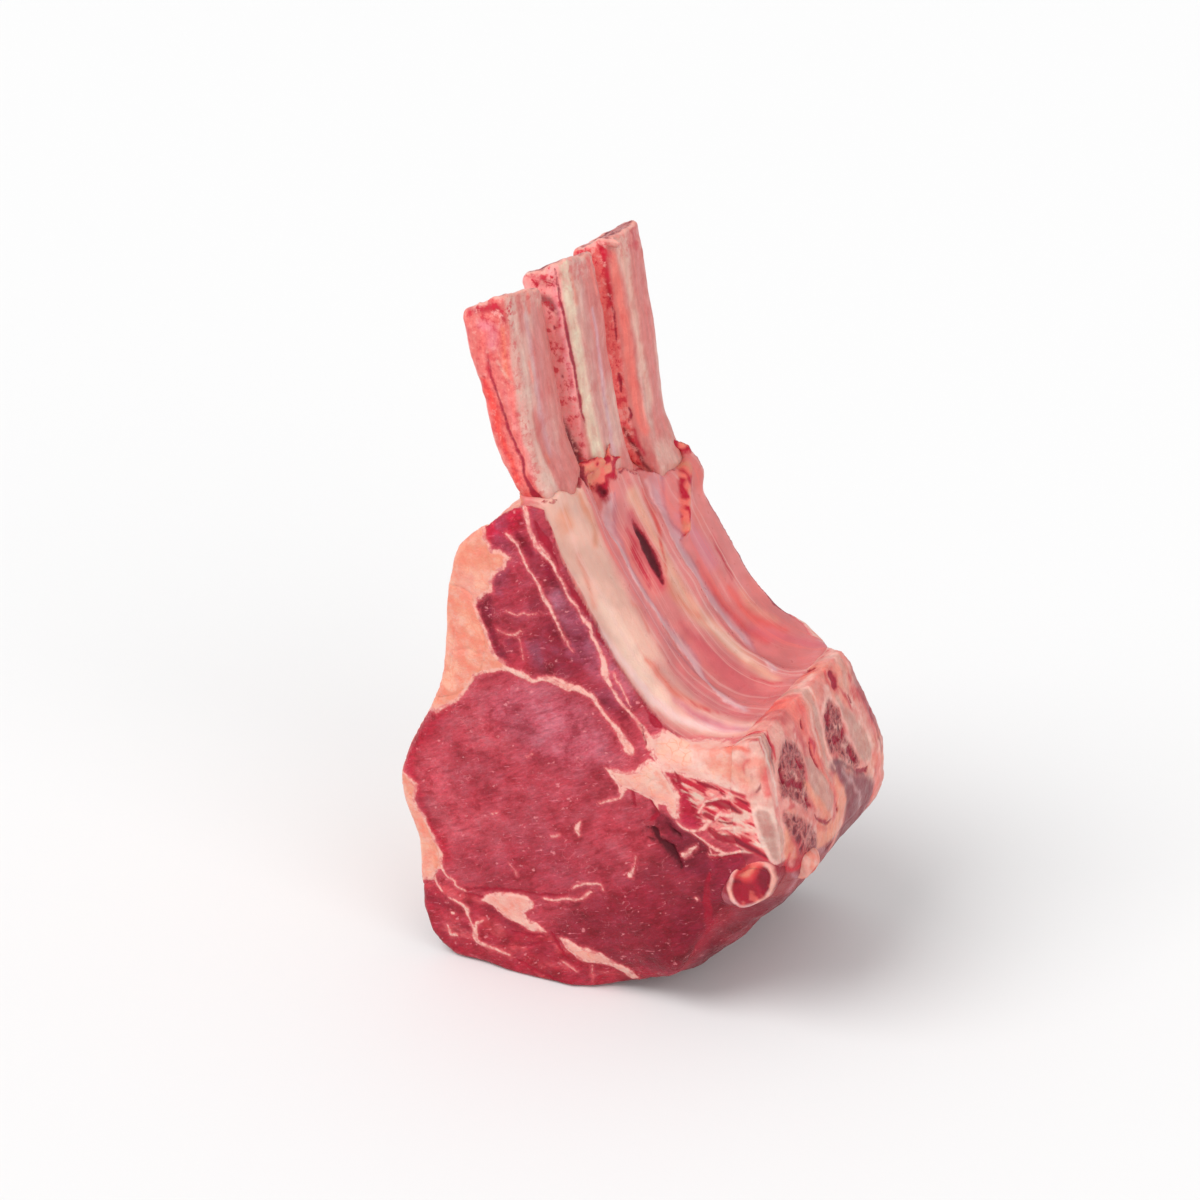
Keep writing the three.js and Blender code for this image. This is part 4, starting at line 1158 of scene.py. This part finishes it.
def lining_tint(points):
    """Colours of the chest lining."""
    x, y, z = points.T
    side = wavy(np.stack([y, z - x], 1), points, 0.8, 5, 92)
    tint = tinted(LINING, SALMON, 0.4 * smooth(0.1, 0.9, noise(points, 14, 38)))
    tint = tinted(tint, linear(206, 112, 112), 0.7 * smooth(130, 70, z - x))
    return draw_lines(tint, side, LINING_MARKS)


def sawn_tint(points):
    """Colours of the sawn side of the backbone."""
    at = wavy(points[:, 1:], points, 0.9, 4, 93)
    tint = tinted(linear(224, 138, 128), PEACH, 0.5 * smooth(0.0, 0.7, noise(points, 11, 48)))
    tint = tinted(tint, linear(204, 76, 80), 0.8 * smooth(0.0, 0.7, fractal(points, 8, 49)))
    tint = tinted(tint, linear(236, 180, 168), 0.8 * smooth(0.0, 0.7, fractal(points, 7, 50)))
    return draw_lines(draw_areas(tint, at, CHINE_AREAS), at, CHINE_LINES)


def front_end_tint(points):
    """Colours of fat and flesh on the front side of the backbone."""
    x, z = points[:, 0], points[:, 2]
    pale, dark = cut_face(points, x, z)
    tint = tinted(face_tint(points, x, z), fat_tint(points, x, z), soft(pale, 1.2))
    tint = tinted(tint, CRIMSON, 0.9 * soft(nearest(np.stack([x, z], 1), *RED_BITS), 1.5))
    tint = tinted(tint, MAROON, 0.8 * soft(dark + 0.4, 1.2))
    end = area(wavy(np.stack([x, z], 1), points, 0.5, 4, 98), DISC_END)
    tint = tinted(tint, linear(232, 190, 178), 0.9 * soft(end - 1, 1.2))
    return tinted(tint, linear(190, 140, 130), 0.9 * soft(end + 1, 2))


def scrap_tint(points):
    """Colours of the scraps of flesh over the last ribs."""
    patchy = noise(points, 4, 44)
    tint = tinted(SALMON, CRIMSON, smooth(0.0, 0.3, patchy))
    return tinted(tint, PEACH, smooth(-0.1, -0.4, patchy))


def meat_surface():
    """The block of meat, grown together with its neighbours, with scraps and pockets."""
    others = ["fat_cap_upper", "fat_cap_lower", *SAWN]
    room = Room(["meat", *RIBS, *others], 1.8)
    ribs = np.minimum.reduce([room.solid(name, 0.6) for name in RIBS])
    ribs = np.maximum(ribs, (room.z - lining_top(room.y)) * 0.9)
    field = merge(room.solid("meat"), ribs, 3.5)
    for start, end, radius in SCRAPS:
        field = merge(field, capsule(room, start, end, radius), 1.5)
    fields = {"meat": field} | {name: room.solid(name) for name in others}
    field = flush(fields, "meat", together(room, fields))
    for start, end, radius in POCKETS:
        field = carve(field, capsule(room, start, end, radius), 1.5)
    return Skin(*room.surface(lumpy(room, field)))


def face_marks(skin):
    """Distances to pale and dark marks of both cut faces, fading on the sides."""
    x, y, z = skin.points.T
    facing = skin.normals[:, 1]
    on_front = 0.3 * np.clip(y - 1.5, 0, None) + 4 * smooth(-0.5, 0.1, facing)
    on_rear = 0.3 * np.clip(DEPTH - 1.5 - y, 0, None) + 4 * smooth(0.5, -0.1, facing)
    result = [np.full(len(x), FAR), np.full(len(x), FAR)]
    front, rear = y < FACE_REACH, y > DEPTH - FACE_REACH
    for near, away, (u, w) in ((front, on_front, (x, z)), (rear, on_rear, on_rear_face(x, z))):
        for total, part in zip(result, cut_face(skin.points[near], u[near], w[near])):
            total[near] = np.minimum(total[near], part + away[near])
    return result


def refine_meat(skin):
    """Makes the mesh finer at the marks of the cut faces, the shreds and the trimmings."""
    for reach, last_y in ((1.6, 200), (0.8, FACE_REACH)):
        pale, dark = face_marks(skin)
        x, y, z = skin.points.T
        shredded = (area(np.stack([x, z], 1), SHREDS) < 3) & (y < 4)
        torn_up = (y > 40) & (y < 76) & (z > 215) & (z < 246)
        edged = np.minimum(np.abs(pale), np.abs(dark)) < reach
        skin.refine((edged | shredded | torn_up) & (y < last_y))


def make_meat():
    skin = meat_surface()
    refine_meat(skin)
    points = skin.points
    x, y, z = points.T
    n = skin.normals
    pale, dark = face_marks(skin)

    # the share that each side has in every point
    front = smooth(9, 3, y) * smooth(0.0, -0.45, n[:, 1])
    rear_facing = n[:, 1] + 0.12 * noise(points, 5, 96)
    rear = smooth(DEPTH - 10, DEPTH - 6, y) * smooth(0.24, 0.4, rear_facing)
    faces = np.clip(front + rear, 0, 1)
    high = np.maximum(smooth(137, 142, z), smooth(122, 128, z) * smooth(0.45, 0.65, n[:, 2]))
    chest = high * smooth(-0.1, 0.25, n[:, 0] * 0.75 + n[:, 2] * 0.65) * (1 - faces)
    chine = smooth(86, 93, x) * smooth(60, 68, z) * (1 - faces) * (1 - chest)
    outer = smooth(0.0, -0.5, n[:, 0]) * smooth(26, 42, z) * (1 - faces) * (1 - chest)
    below = (1 - faces) * (1 - chest) * (1 - chine) * (1 - outer)
    torn = smooth(2.2, 0.8, from_capsules(points, SCRAPS)) * (1 - faces)
    fat_side = (outer > 0.5) & (z < 170)
    pale = np.where(fat_side, -6.0, pale)

    # dark red for the lower sides and the underside: partly the flesh's own colour, partly painted shade
    # of the sides that face down, away from the light
    tint = tinted(linear(112, 12, 30), MUSCLE, 0.5 * smooth(-0.1, 0.8, noise(points, 24, 8)))
    tint = tinted(tint, linear(156, 78, 88), 0.5 * below * smooth(0.0, 0.6, fractal(points, 22, 9)))
    tint = tinted(tint, PEACH, outer * 0.95)
    tint = tinted(tint, sawn_tint(points), chine)
    tint = tinted(tint, lining_tint(points), chest)
    tint = tinted(tint, face_tint(points, x, z), front)
    tint = tinted(tint, face_tint(points, *on_rear_face(x, z)), rear)
    edge = (1 - chest) * (1 - chine) * smooth(2.5, 6, y) * smooth(13, 8, y)
    tint = tinted(tint, CRIMSON, 0.6 * edge * (1 - outer) * (1 - below * 0.4))
    tint = tinted(tint, scrap_tint(points), torn)

    # distances to the dark marks and gaps of the sides
    side = wavy(np.stack([y, z - x], 1), points, 0.8, 5, 92)
    pocket = from_capsules(points, POCKETS)
    slit = np.where(chest > 0.3, stroke(side, SLIT), FAR)
    spots = np.where(chine > 0.3, nearest(points[:, 1:], *CHINE_SPOTS), FAR)
    rim = np.where((z > 205) & (y > 5), np.abs(z - lining_top(y) + 0.5) - 0.4, FAR)
    rim = np.where(noise(points, 9, 46) > 0.25, rim, FAR)
    dark = np.minimum.reduce([dark, slit, spots, pocket - 0.6, rim])
    at = np.stack([x, z], 1)
    carved = nearest(wavy(at, points, 1.3, 3.5, 99), *CREASES) + 0.35 * np.clip(y - 1, 0, None)

    skin.look = {
        "tint": tint,
        "fatty": np.where(fat_side[:, None], side_fat(points), fat_tint(points, x, z)),
        "flow": np.stack([y / 3.2, np.hypot(x - 90, z - 240) / 55, np.ones(len(x))], 1),
        "grain": np.clip(faces + below * 0.6, 0, 1) * (1 - soft(area(at, SHREDS), 4) * 0.7),
        "lined": chest * (1 - torn),
        "dark": dark,
        "pale": pale,
        # creases, pockets, slit and pores, whose painted shade is near black
        "gap_shade": np.minimum.reduce([carved, pocket + 0.2, slit + 0.8, spots + 0.2]),
    }
    depth = -2.2 * smooth(1.0, -1.0, carved) - 1.3 * smooth(1.0, -2.0, slit)
    depth += 0.35 * smooth(0.8, -0.8, pale) - 0.3 * smooth(0.6, -0.4, dark) * faces
    depth -= 1.4 * smooth(0.8, -1.6, spots) + 1.6 * soft(area(at, HOLLOW), 5) * smooth(6, 3, y)
    skin.push(depth + relief(points) + 0.5 * torn * noise(points, 3, 23))
    return skin.build("roast_meat", ["meat"], "muscle", FLESH)


def ring_bone(skin):
    """Colours of the round bone's front end, and how far they sink in."""
    points = skin.points
    x, y, z = points.T
    face = wavy(np.stack([x, z], 1), points, 0.5, 4, 94)
    inside = area(face, RING) - 0.8 + 0.6 * np.clip(y - 4, 0, None)
    tint = tinted(linear(150, 34, 50), MAUVE, 0.5 * smooth(0, 0.7, noise(points, 6, 66)))
    rim = tinted(linear(236, 170, 156), LILAC, 0.5 * smooth(0, 0.7, noise(points, 5, 68)))
    tint = tinted(tint, rim, soft(inside - 1.7 - 0.9 * noise(points, 5, 71), 1.6))
    filling = tinted(linear(158, 14, 40), MAROON, 0.7 * smooth(-0.2, 0.6, noise(points, 6, 67)))
    filling = tinted(filling, SALMON, 0.5 * smooth(0.4, 0.9, noise(points, 3, 69)))
    tint = tinted(tint, filling, soft(inside, 1.2))
    flesh = area(face, RING_TOP)
    tint = tinted(tint, linear(214, 58, 62), 0.8 * soft(flesh, 3))
    tint = tinted(tint, linear(232, 140, 116), 0.8 * soft(flesh + 2.4, 2.5))
    return tint, -1.8 * smooth(0.6, -2.4, inside) - 0.7 * smooth(1.6, 3.0, inside)


def small_bone(skin):
    """Colours of the small feather bone, and how far its red centre sinks in."""
    y, z = skin.points[:, 1], skin.points[:, 2]
    tint = tinted(linear(232, 136, 120), PINK_FAT, smooth(0, 0.6, noise(skin.points, 4, 70)))
    middle = np.hypot(y - 23.5, z - 75.5) - 2.4
    return tinted(tint, linear(190, 14, 44), soft(middle, 1.4)), -1.2 * smooth(0.8, -1, middle)


def spongy_bone(skin):
    """Colours of the sawn backbone, its share of pores, and the distance to its dark holes."""
    points = skin.points
    at = wavy(points[:, 1:], points, 0.9, 4, 93)
    on_front = smooth(9, 3, points[:, 1]) * smooth(0.0, -0.45, skin.normals[:, 1])
    tint = mix(sawn_tint(points), front_end_tint(points), on_front[:, None])
    porous = np.maximum.reduce([soft(area(at, outline), 3) for outline in SPONGE]) * (1 - on_front)
    tint = tinted(tint, PINK_FAT, 0.8 * porous * soft(nearest(at, *STRUTS), 1.5))
    return tint, porous, nearest(at, *CHINE_SPOTS, *PORES) + 6 * on_front


def make_sawn_bone(name, room, fields, whole):
    small = name == "feather_bone_2"
    skin = Skin(*room.surface(lumpy(room, fields[name] - 1.4 if small else flush(fields, name, whole))))
    holes = np.abs(nearest(skin.points[:, 1:], *CHINE_SPOTS, *PORES))
    skin.refine((skin.points[:, 1] < 9) | (holes < 1.5))
    x, y, z = skin.points.T
    porous, dark, sunken = np.zeros(len(x)), np.full(len(x), FAR), 0
    if small:
        tint, sunken = small_bone(skin)
    elif name == "feather_bone_1":
        tint, sunken = ring_bone(skin)
    else:
        tint, porous, dark = spongy_bone(skin)
    skin.look = {
        "tint": tint,
        "flow": np.stack([y / 4 + z / 9, x / 4, z / 16], 1),
        "raw": np.zeros(len(x)),
        "porous": porous,
        "dark": dark,
    }
    skin.push(relief(skin.points) + sunken - 1.0 * smooth(0.8, -1.0, dark))
    slot, material = ("cartilage", GRISTLE) if name in DISCS else ("bone", SAWN_BONE)
    return skin.build("roast_" + name, [name], slot, material)


# Marks on the bare ribs are (colour, share, softness, line of [t, z, half width]); t runs from the outer
# edge of the front side, which is less than 0, over the corner at 0 and on over the chest side.
RIB_FRONTS = [9, 51, 96]  # how far behind the front cut face each rib's corner is
# the second rib's front is pale pink of its own and is painted lighter still, as painted light against the
# shade of the first rib
RIB_FRONT_TINTS = [linear(232, 114, 108), linear(250, 156, 154), linear(236, 112, 108)]
RIB_RAWNESS = [0.5, 0.75, 0.75]  # share of raw flesh left on the front sides
RIB_ROUGHNESS = [0.4, 0.5, 0.9]  # height of the lumps there
RIB_MARKS = [
    [
        (linear(220, 174, 162), 0.9, 3,
         [[-2, 324, 4], [-1.5, 308, 4], [-3, 297, 5], [-3, 285, 5], [-4, 272, 5], [-3, 258, 5],
          [-2, 248, 6], [3, 236, 6], [6, 228, 6]]),
        (linear(212, 126, 124), 0.6, 5,
         [[16, 318, 2], [16, 300, 3.5], [12, 280, 3], [14, 262, 3], [15, 244, 2]]),
        (LILAC, 0.5, 4, [[9, 312, 1.5], [8, 290, 1.5], [8, 270, 2], [10, 252, 1.6]]),
        (SALMON, 0.8, 3, [[12.5, 320, 0.8], [12.5, 312, 1]]),
        (SALMON, 0.7, 3, [[5, 293, 0.7], [5, 285, 0.8]]),
        (ORANGE, 0.7, 2, [[6, 252, 0.6], [7, 249, 0.8]]),
        (CRIMSON, 0.85, 2.5,
         [[-26, 317, 1.5], [-22, 318, 2], [-15, 319, 2], [-10, 318.5, 1.6], [-8, 314, 1]]),
        (linear(232, 130, 140), 0.9, 4, [[-20.5, 311, 2], [-15, 310, 2.5], [-17, 303, 2]]),
        (ORANGE, 0.8, 3, [[-10, 310, 1], [-11, 300, 1.2], [-12, 290, 1.2]]),
        (CRIMSON, 0.8, 2, [[-20, 300, 0.5], [-20.5, 292, 1], [-19.5, 286, 0.8]]),
        (linear(240, 70, 60), 0.85, 3,
         [[-23, 285, 0.8], [-22, 279, 1.6], [-20, 271, 1.8], [-20, 264, 1.6], [-16, 252, 1.4],
          [-15.5, 239, 1.6]]),
        (CREAM, 0.8, 2, [[-15.5, 296, 0.3], [-13, 291, 0.5], [-10, 286.5, 0.5]]),
        (linear(236, 130, 130), 0.8, 2.5,
         [[-15, 284, 0.6], [-13, 274, 0.8], [-10, 264, 0.8], [-7, 254, 0.8], [-7, 244, 0.8]]),
    ],
    [
        (linear(226, 194, 172), 0.95, 3,
         [[3, 330, 3.5], [3, 312, 3.5], [3.5, 294, 3.5], [4, 276, 3.5], [5, 260, 4], [6, 244, 4.5],
          [8, 230, 5]]),
        (linear(204, 136, 130), 0.85, 3,
         [[15, 328, 2], [15, 310, 2], [15.5, 292, 2], [15, 276, 2.4], [14.5, 258, 2.4], [15, 244, 2]]),
        (LILAC, 0.8, 3, [[21, 300, 1], [21.5, 285, 1.4], [21, 268, 1.4], [20, 250, 1.4], [20, 236, 1.4]]),
        (SALMON, 0.6, 3, [[22, 326, 2], [25, 320, 2], [28, 306, 1.6]]),
        (ORANGE, 0.6, 3, [[8, 318, 0.6], [8.5, 306, 0.8]]),
        (CRIMSON, 0.95, 3, [[-20, 320, 2], [-15, 322, 3], [-11, 321, 2.4]]),
        (MAROON, 0.7, 3, [[-12, 311, 1.4], [-8, 309, 2.4], [-6, 305, 1.4]]),
        (linear(232, 128, 140), 0.8, 3, [[-5, 318, 0.8], [-5, 300, 1], [-4.5, 285, 1], [-4, 270, 1]]),
        (MAROON, 0.9, 3, [[-12, 256, 1], [-10, 249, 2], [-9, 243, 3], [-8, 237, 3.4]]),
    ],
    [
        (linear(226, 170, 154), 0.9, 5,
         [[9, 324, 2.5], [11, 310, 3], [13, 296, 3], [13, 280, 3], [15, 262, 2], [16, 246, 2.5]]),
        (linear(214, 120, 116), 0.7, 5,
         [[24, 318, 3], [25, 300, 2.5], [25, 280, 3], [26, 256, 3], [26, 236, 3]]),
        (CRIMSON, 0.5, 5, [[23, 321, 2.5], [24, 315, 2.5]]),
        (SALMON, 0.8, 4,
         [[3, 316, 2.5], [3, 300, 3], [4, 284, 3.5], [4, 266, 3.5], [5, 250, 4], [7, 236, 4]]),
        (linear(198, 20, 50), 0.9, 3, [[-4, 322, 2], [-3, 308, 1.6], [-3, 296, 1.4]]),
        (MAROON, 0.9, 2, [[-6, 236, 0.8], [-4.5, 229, 1.4], [-2.5, 222, 1.2], [0, 217, 0.8]]),
        (CRIMSON, 0.9, 2.5, [[-1, 236, 0.8], [-1.5, 230, 1.4], [0, 224, 1.2]]),
    ],
]
# Dark lines and spots on the ribs, in [t, z, half width].
RIB_LINES = [
    [[-20, 296, 0.3], [-19.5, 286, 0.5], [-18, 279, 0.6], [-16.5, 272, 0.7], [-15, 265, 0.8],
     [-12.5, 259, 0.7], [-10.5, 252, 0.7], [-11, 245, 0.7], [-9.5, 240, 1.2], [-5.5, 235, 2]],
    [[-3.5, 327, 0.4], [-2.8, 315, 0.7], [-2.3, 305, 0.9], [-2, 297, 1], [-1.6, 286, 1], [-0.8, 276, 0.9],
     [0, 266, 0.9], [1, 255, 0.6]],
    [[-3.5, 300, 0.2], [-2.5, 292, 0.6], [-3, 284, 0.6], [-4, 278, 0.3]],
]
RIB_SPOTS = [
    [[[-19.5, 291, 0.4], [-19.4, 290, 0.4]], [[-23.5, 287.5, 0.3], [-23, 287, 0.3]]],
    [
        [[-8.8, 306, 0.7], [-8.5, 305.5, 0.7]],
        [[-8.6, 298, 0.6], [-8.5, 297.5, 0.6]],
        [[-8.2, 276, 0.6], [-8, 275.5, 0.6]],
    ],
    [
        [[-4, 262, 0.5], [-4, 258, 0.8], [-4.5, 254, 0.4]],
        [[-2, 246, 0.5], [-1, 243, 0.8], [-3, 240, 0.6]],
    ],
]
# Lumps of flesh left at the sawn ends: (start, end, radius) in [x, y, z].
RIB_LUMPS = [
    [([-29, 11, 314.5], [-22, 10, 317], 1.9), ([-21, 24, 320.5], [-19, 30, 320], 2.2)],
    [([-26, 52, 318], [-19, 51.5, 320], 2.2), ([-28, 56, 314], [-29, 60, 315], 2)],
    [([-16, 98, 322], [-10, 97.5, 323], 1.8)],
]


def end_rim(skin, sawn):
    """For points on the sawn end, the distance to its rim."""
    on_end = sawn > 0.5
    rim = skin.points[(sawn < 0.5) & (skin.points[:, 2] > 312)]
    ends = skin.points[on_end]
    result = np.zeros(len(sawn))
    result[on_end] = [np.linalg.norm(rim - point, axis=1).min() for point in ends]
    return result


def make_rib(number):
    name = RIBS[number]
    room = Room([name], 1.1)
    buried = smooth(4, -2, room.z - lining_top(room.y))
    field = room.roughen(room.rounded_off(room.solid(name, 0.1), 2.2), 14, 0.5, 5) + 1.8 * buried
    for start, end, radius in RIB_LUMPS[number]:
        field = merge(field, capsule(room, start, end, radius), 1.5)
    field = room.roughen(field, 4.5, 0.7, 6, np.clip((room.z - 306) / 8, 0, 1))
    skin = Skin(*room.surface(field))
    points = skin.points
    x, y, z = points.T
    n = skin.normals
    sawn = smooth(0.45, 0.75, n[:, 2]) * smooth(315, 319, z)
    t = x - rib_side(z) + y - RIB_FRONTS[number]
    seen = smooth(0.5, 0.1, n[:, 1]) * smooth(-0.5, -0.1, n[:, 0] - 0.8 * n[:, 1]) * (1 - sawn)
    front = smooth(1.5, -1.5, t + 1.5) * seen

    tint = tinted(BONE_PINK, BONE, 0.5 * smooth(-0.2, 0.6, noise(points * [1, 1, 0.25], 9, 41)))
    tint = tinted(tint, SALMON, 0.7 * smooth(-0.1, -0.6, n[:, 0]) * (1 - seen))
    tint = tinted(tint, RIB_FRONT_TINTS[number], 0.95 * front)
    at = wavy(np.stack([t, z], 1), points, 0.7, 5, 95)
    tint = mix(tint, draw_lines(tint, at, RIB_MARKS[number]), seen[:, None])
    tint = tinted(tint, PINK_FAT, sawn)
    porous = sawn * smooth(1.6, 3.0, end_rim(skin, sawn))
    tint = tinted(tint, MARROW, 0.8 * porous)

    dark = nearest(at, RIB_LINES[number], *RIB_SPOTS[number]) + 6 * (1 - seen)
    raw_front = RIB_RAWNESS[number] * front * smooth(1.5, -1, t + 1.5)
    raw_top = smooth(310, 317, z) * (1 - sawn) * 0.4
    skin.look = {
        "tint": tint,
        "flow": np.stack([x / 3.0, y / 3.0, z / 45], 1),
        "raw": np.clip(raw_front + raw_top, 0, 1),
        "porous": porous,
        "dark": dark,
    }
    depth = RIB_ROUGHNESS[number] * front * np.clip(noise(points, 3.6, 33) + 0.1, 0, 1)
    depth -= 0.5 * smooth(1.2, -0.8, dark)
    skin.push(depth + 0.15 * noise(points, 4, 34) - 0.5 * porous)
    return skin.build("roast_" + name, [name], "bone", BONY)


# Thin dark lines on the fat caps, in [x, z, half width].
FAT_VEINS = [
    [[-44, 190.5, 0.2], [-43, 190.5, 0.4], [-38.5, 190.5, 0.5], [-33.5, 188.5, 0.5], [-30.5, 184.5, 0.4]],
    [[-42, 159, 0.4], [-35.5, 162, 0.7], [-30.5, 161.5, 0.6], [-23.5, 162.5, 0.5]],
    [[-42, 170, 0.2], [-43, 160, 0.4], [-46, 148, 0.3]],
    [[-60, 75, 0.2], [-64, 84, 0.4]],
]


def make_fat(name, outline):
    room = Room([name], 1.1)
    fields = {"meat": room.solid("meat"), name: room.solid(name)}
    skin = Skin(*room.surface(lumpy(room, flush(fields, name, together(room, fields)))))
    y, at = skin.points[:, 1], skin.points[:, [0, 2]]
    edge = np.minimum(np.abs(area(at, outline, corners=True)), np.abs(nearest(at, *FAT_VEINS)))
    skin.refine((edge < 1.8) & ((y < 6) | (y > DEPTH - 7)))
    points = skin.points
    x, y, z = points.T
    on_front = smooth(9, 4, y) * smooth(0, -0.4, skin.normals[:, 1])
    on_rear = smooth(DEPTH - 10, DEPTH - 5, y) * smooth(0, 0.4, skin.normals[:, 1])
    faces = np.clip(on_front + on_rear, 0, 1)
    u, w = np.where(on_rear > on_front, on_rear_face(x, z), (x, z))
    at = wavy(np.stack([u, w], 1), points, 0.5, 3, 90)
    away = 0.5 * np.clip(np.minimum(y - 2, DEPTH - 2 - y) * np.sign(DEPTH / 2 - y), 0, None)
    dark = nearest(at, *FAT_VEINS) + away
    pale = area(at, outline, corners=True) * faces - 9 * (1 - faces)
    skin.look = {
        "tint": face_tint(points, u, w),
        "fatty": side_fat(points),
        "flow": points / 9,
        "grain": faces,
        "lined": np.zeros(len(x)),
        "dark": dark,
        "pale": pale,
        "gap_shade": np.full(len(x), FAR),
    }
    skin.push(relief(points) + 0.35 * smooth(0.8, -0.8, pale) - 0.5 * smooth(0.8, -0.6, dark))
    return skin.build("roast_" + name, [name], "fat", FAT)


make_meat()
for number in range(3):
    make_rib(number)
make_fat("fat_cap_upper", UPPER_FAT)
make_fat("fat_cap_lower", LOWER_FAT)
backbone = Room(SAWN, 0.95, 4)
solids = {name: backbone.solid(name) for name in ["meat", *SAWN]}
joined = together(backbone, solids)
for name in SAWN:
    make_sawn_bone(name, backbone, solids, joined)

# ---- floor, light and camera ---------------------------------------------------------------------


def place(x, y, z):
    """A place in the drawing's millimetres as a scene position."""
    return Vector((np.array([x, y, z]) - ORIGIN) / 1000)


def lamp(name, towards_lamp, width, strength):
    """Even light from one side, from a round lamp that is width degrees across."""
    light = bpy.data.lights.new(name, "SUN")
    light.angle, light.energy = math.radians(width), strength
    made = bpy.data.objects.new(name, light)
    made.rotation_euler = Vector(towards_lamp).to_track_quat("Z", "Y").to_euler()
    bpy.context.scene.collection.objects.link(made)


bpy.ops.mesh.primitive_plane_add(size=60, location=(0, 0, -0.0002))
floor = bpy.context.object
floor.name = "floor"
paper = bpy.data.materials.new("paper")
paper.use_nodes = True
sheet = next(n for n in paper.node_tree.nodes if n.type == "BSDF_PRINCIPLED")
sheet.inputs["Base Color"].default_value = (0.82, 0.82, 0.82, 1)
sheet.inputs["Roughness"].default_value = 0.9
sheet.inputs["Specular IOR Level"].default_value = 0.1
floor.data.materials.append(paper)

scene = bpy.context.scene
world = bpy.data.worlds.new("studio")
world.use_nodes = True
sky = world.node_tree.nodes["Background"]
sky.inputs["Color"].default_value = (1, 1, 1, 1)
sky.inputs["Strength"].default_value = 0.68
scene.world = world
lamp("key", (-0.7, -0.9, 1.5), 40, 1.7)
lamp("fill", (1.5, -0.9, 0.9), 40, 0.65)

VIEW_TURN, VIEW_RISE, VIEW_DISTANCE = math.radians(26), math.radians(25), 1.4
aim = place(0, 60, 167)
level = math.cos(VIEW_RISE)
back = Vector((math.sin(VIEW_TURN) * level, -math.cos(VIEW_TURN) * level, math.sin(VIEW_RISE)))
camera = bpy.data.objects.new("camera", bpy.data.cameras.new("camera"))
camera.data.lens, camera.data.sensor_width = 93, 36
camera.data.clip_start, camera.data.clip_end = 0.05, 100
camera.location = aim + back * VIEW_DISTANCE
camera.rotation_euler = back.to_track_quat("Z", "Y").to_euler()
scene.collection.objects.link(camera)
scene.camera = camera
scene.view_settings.view_transform = "Standard"
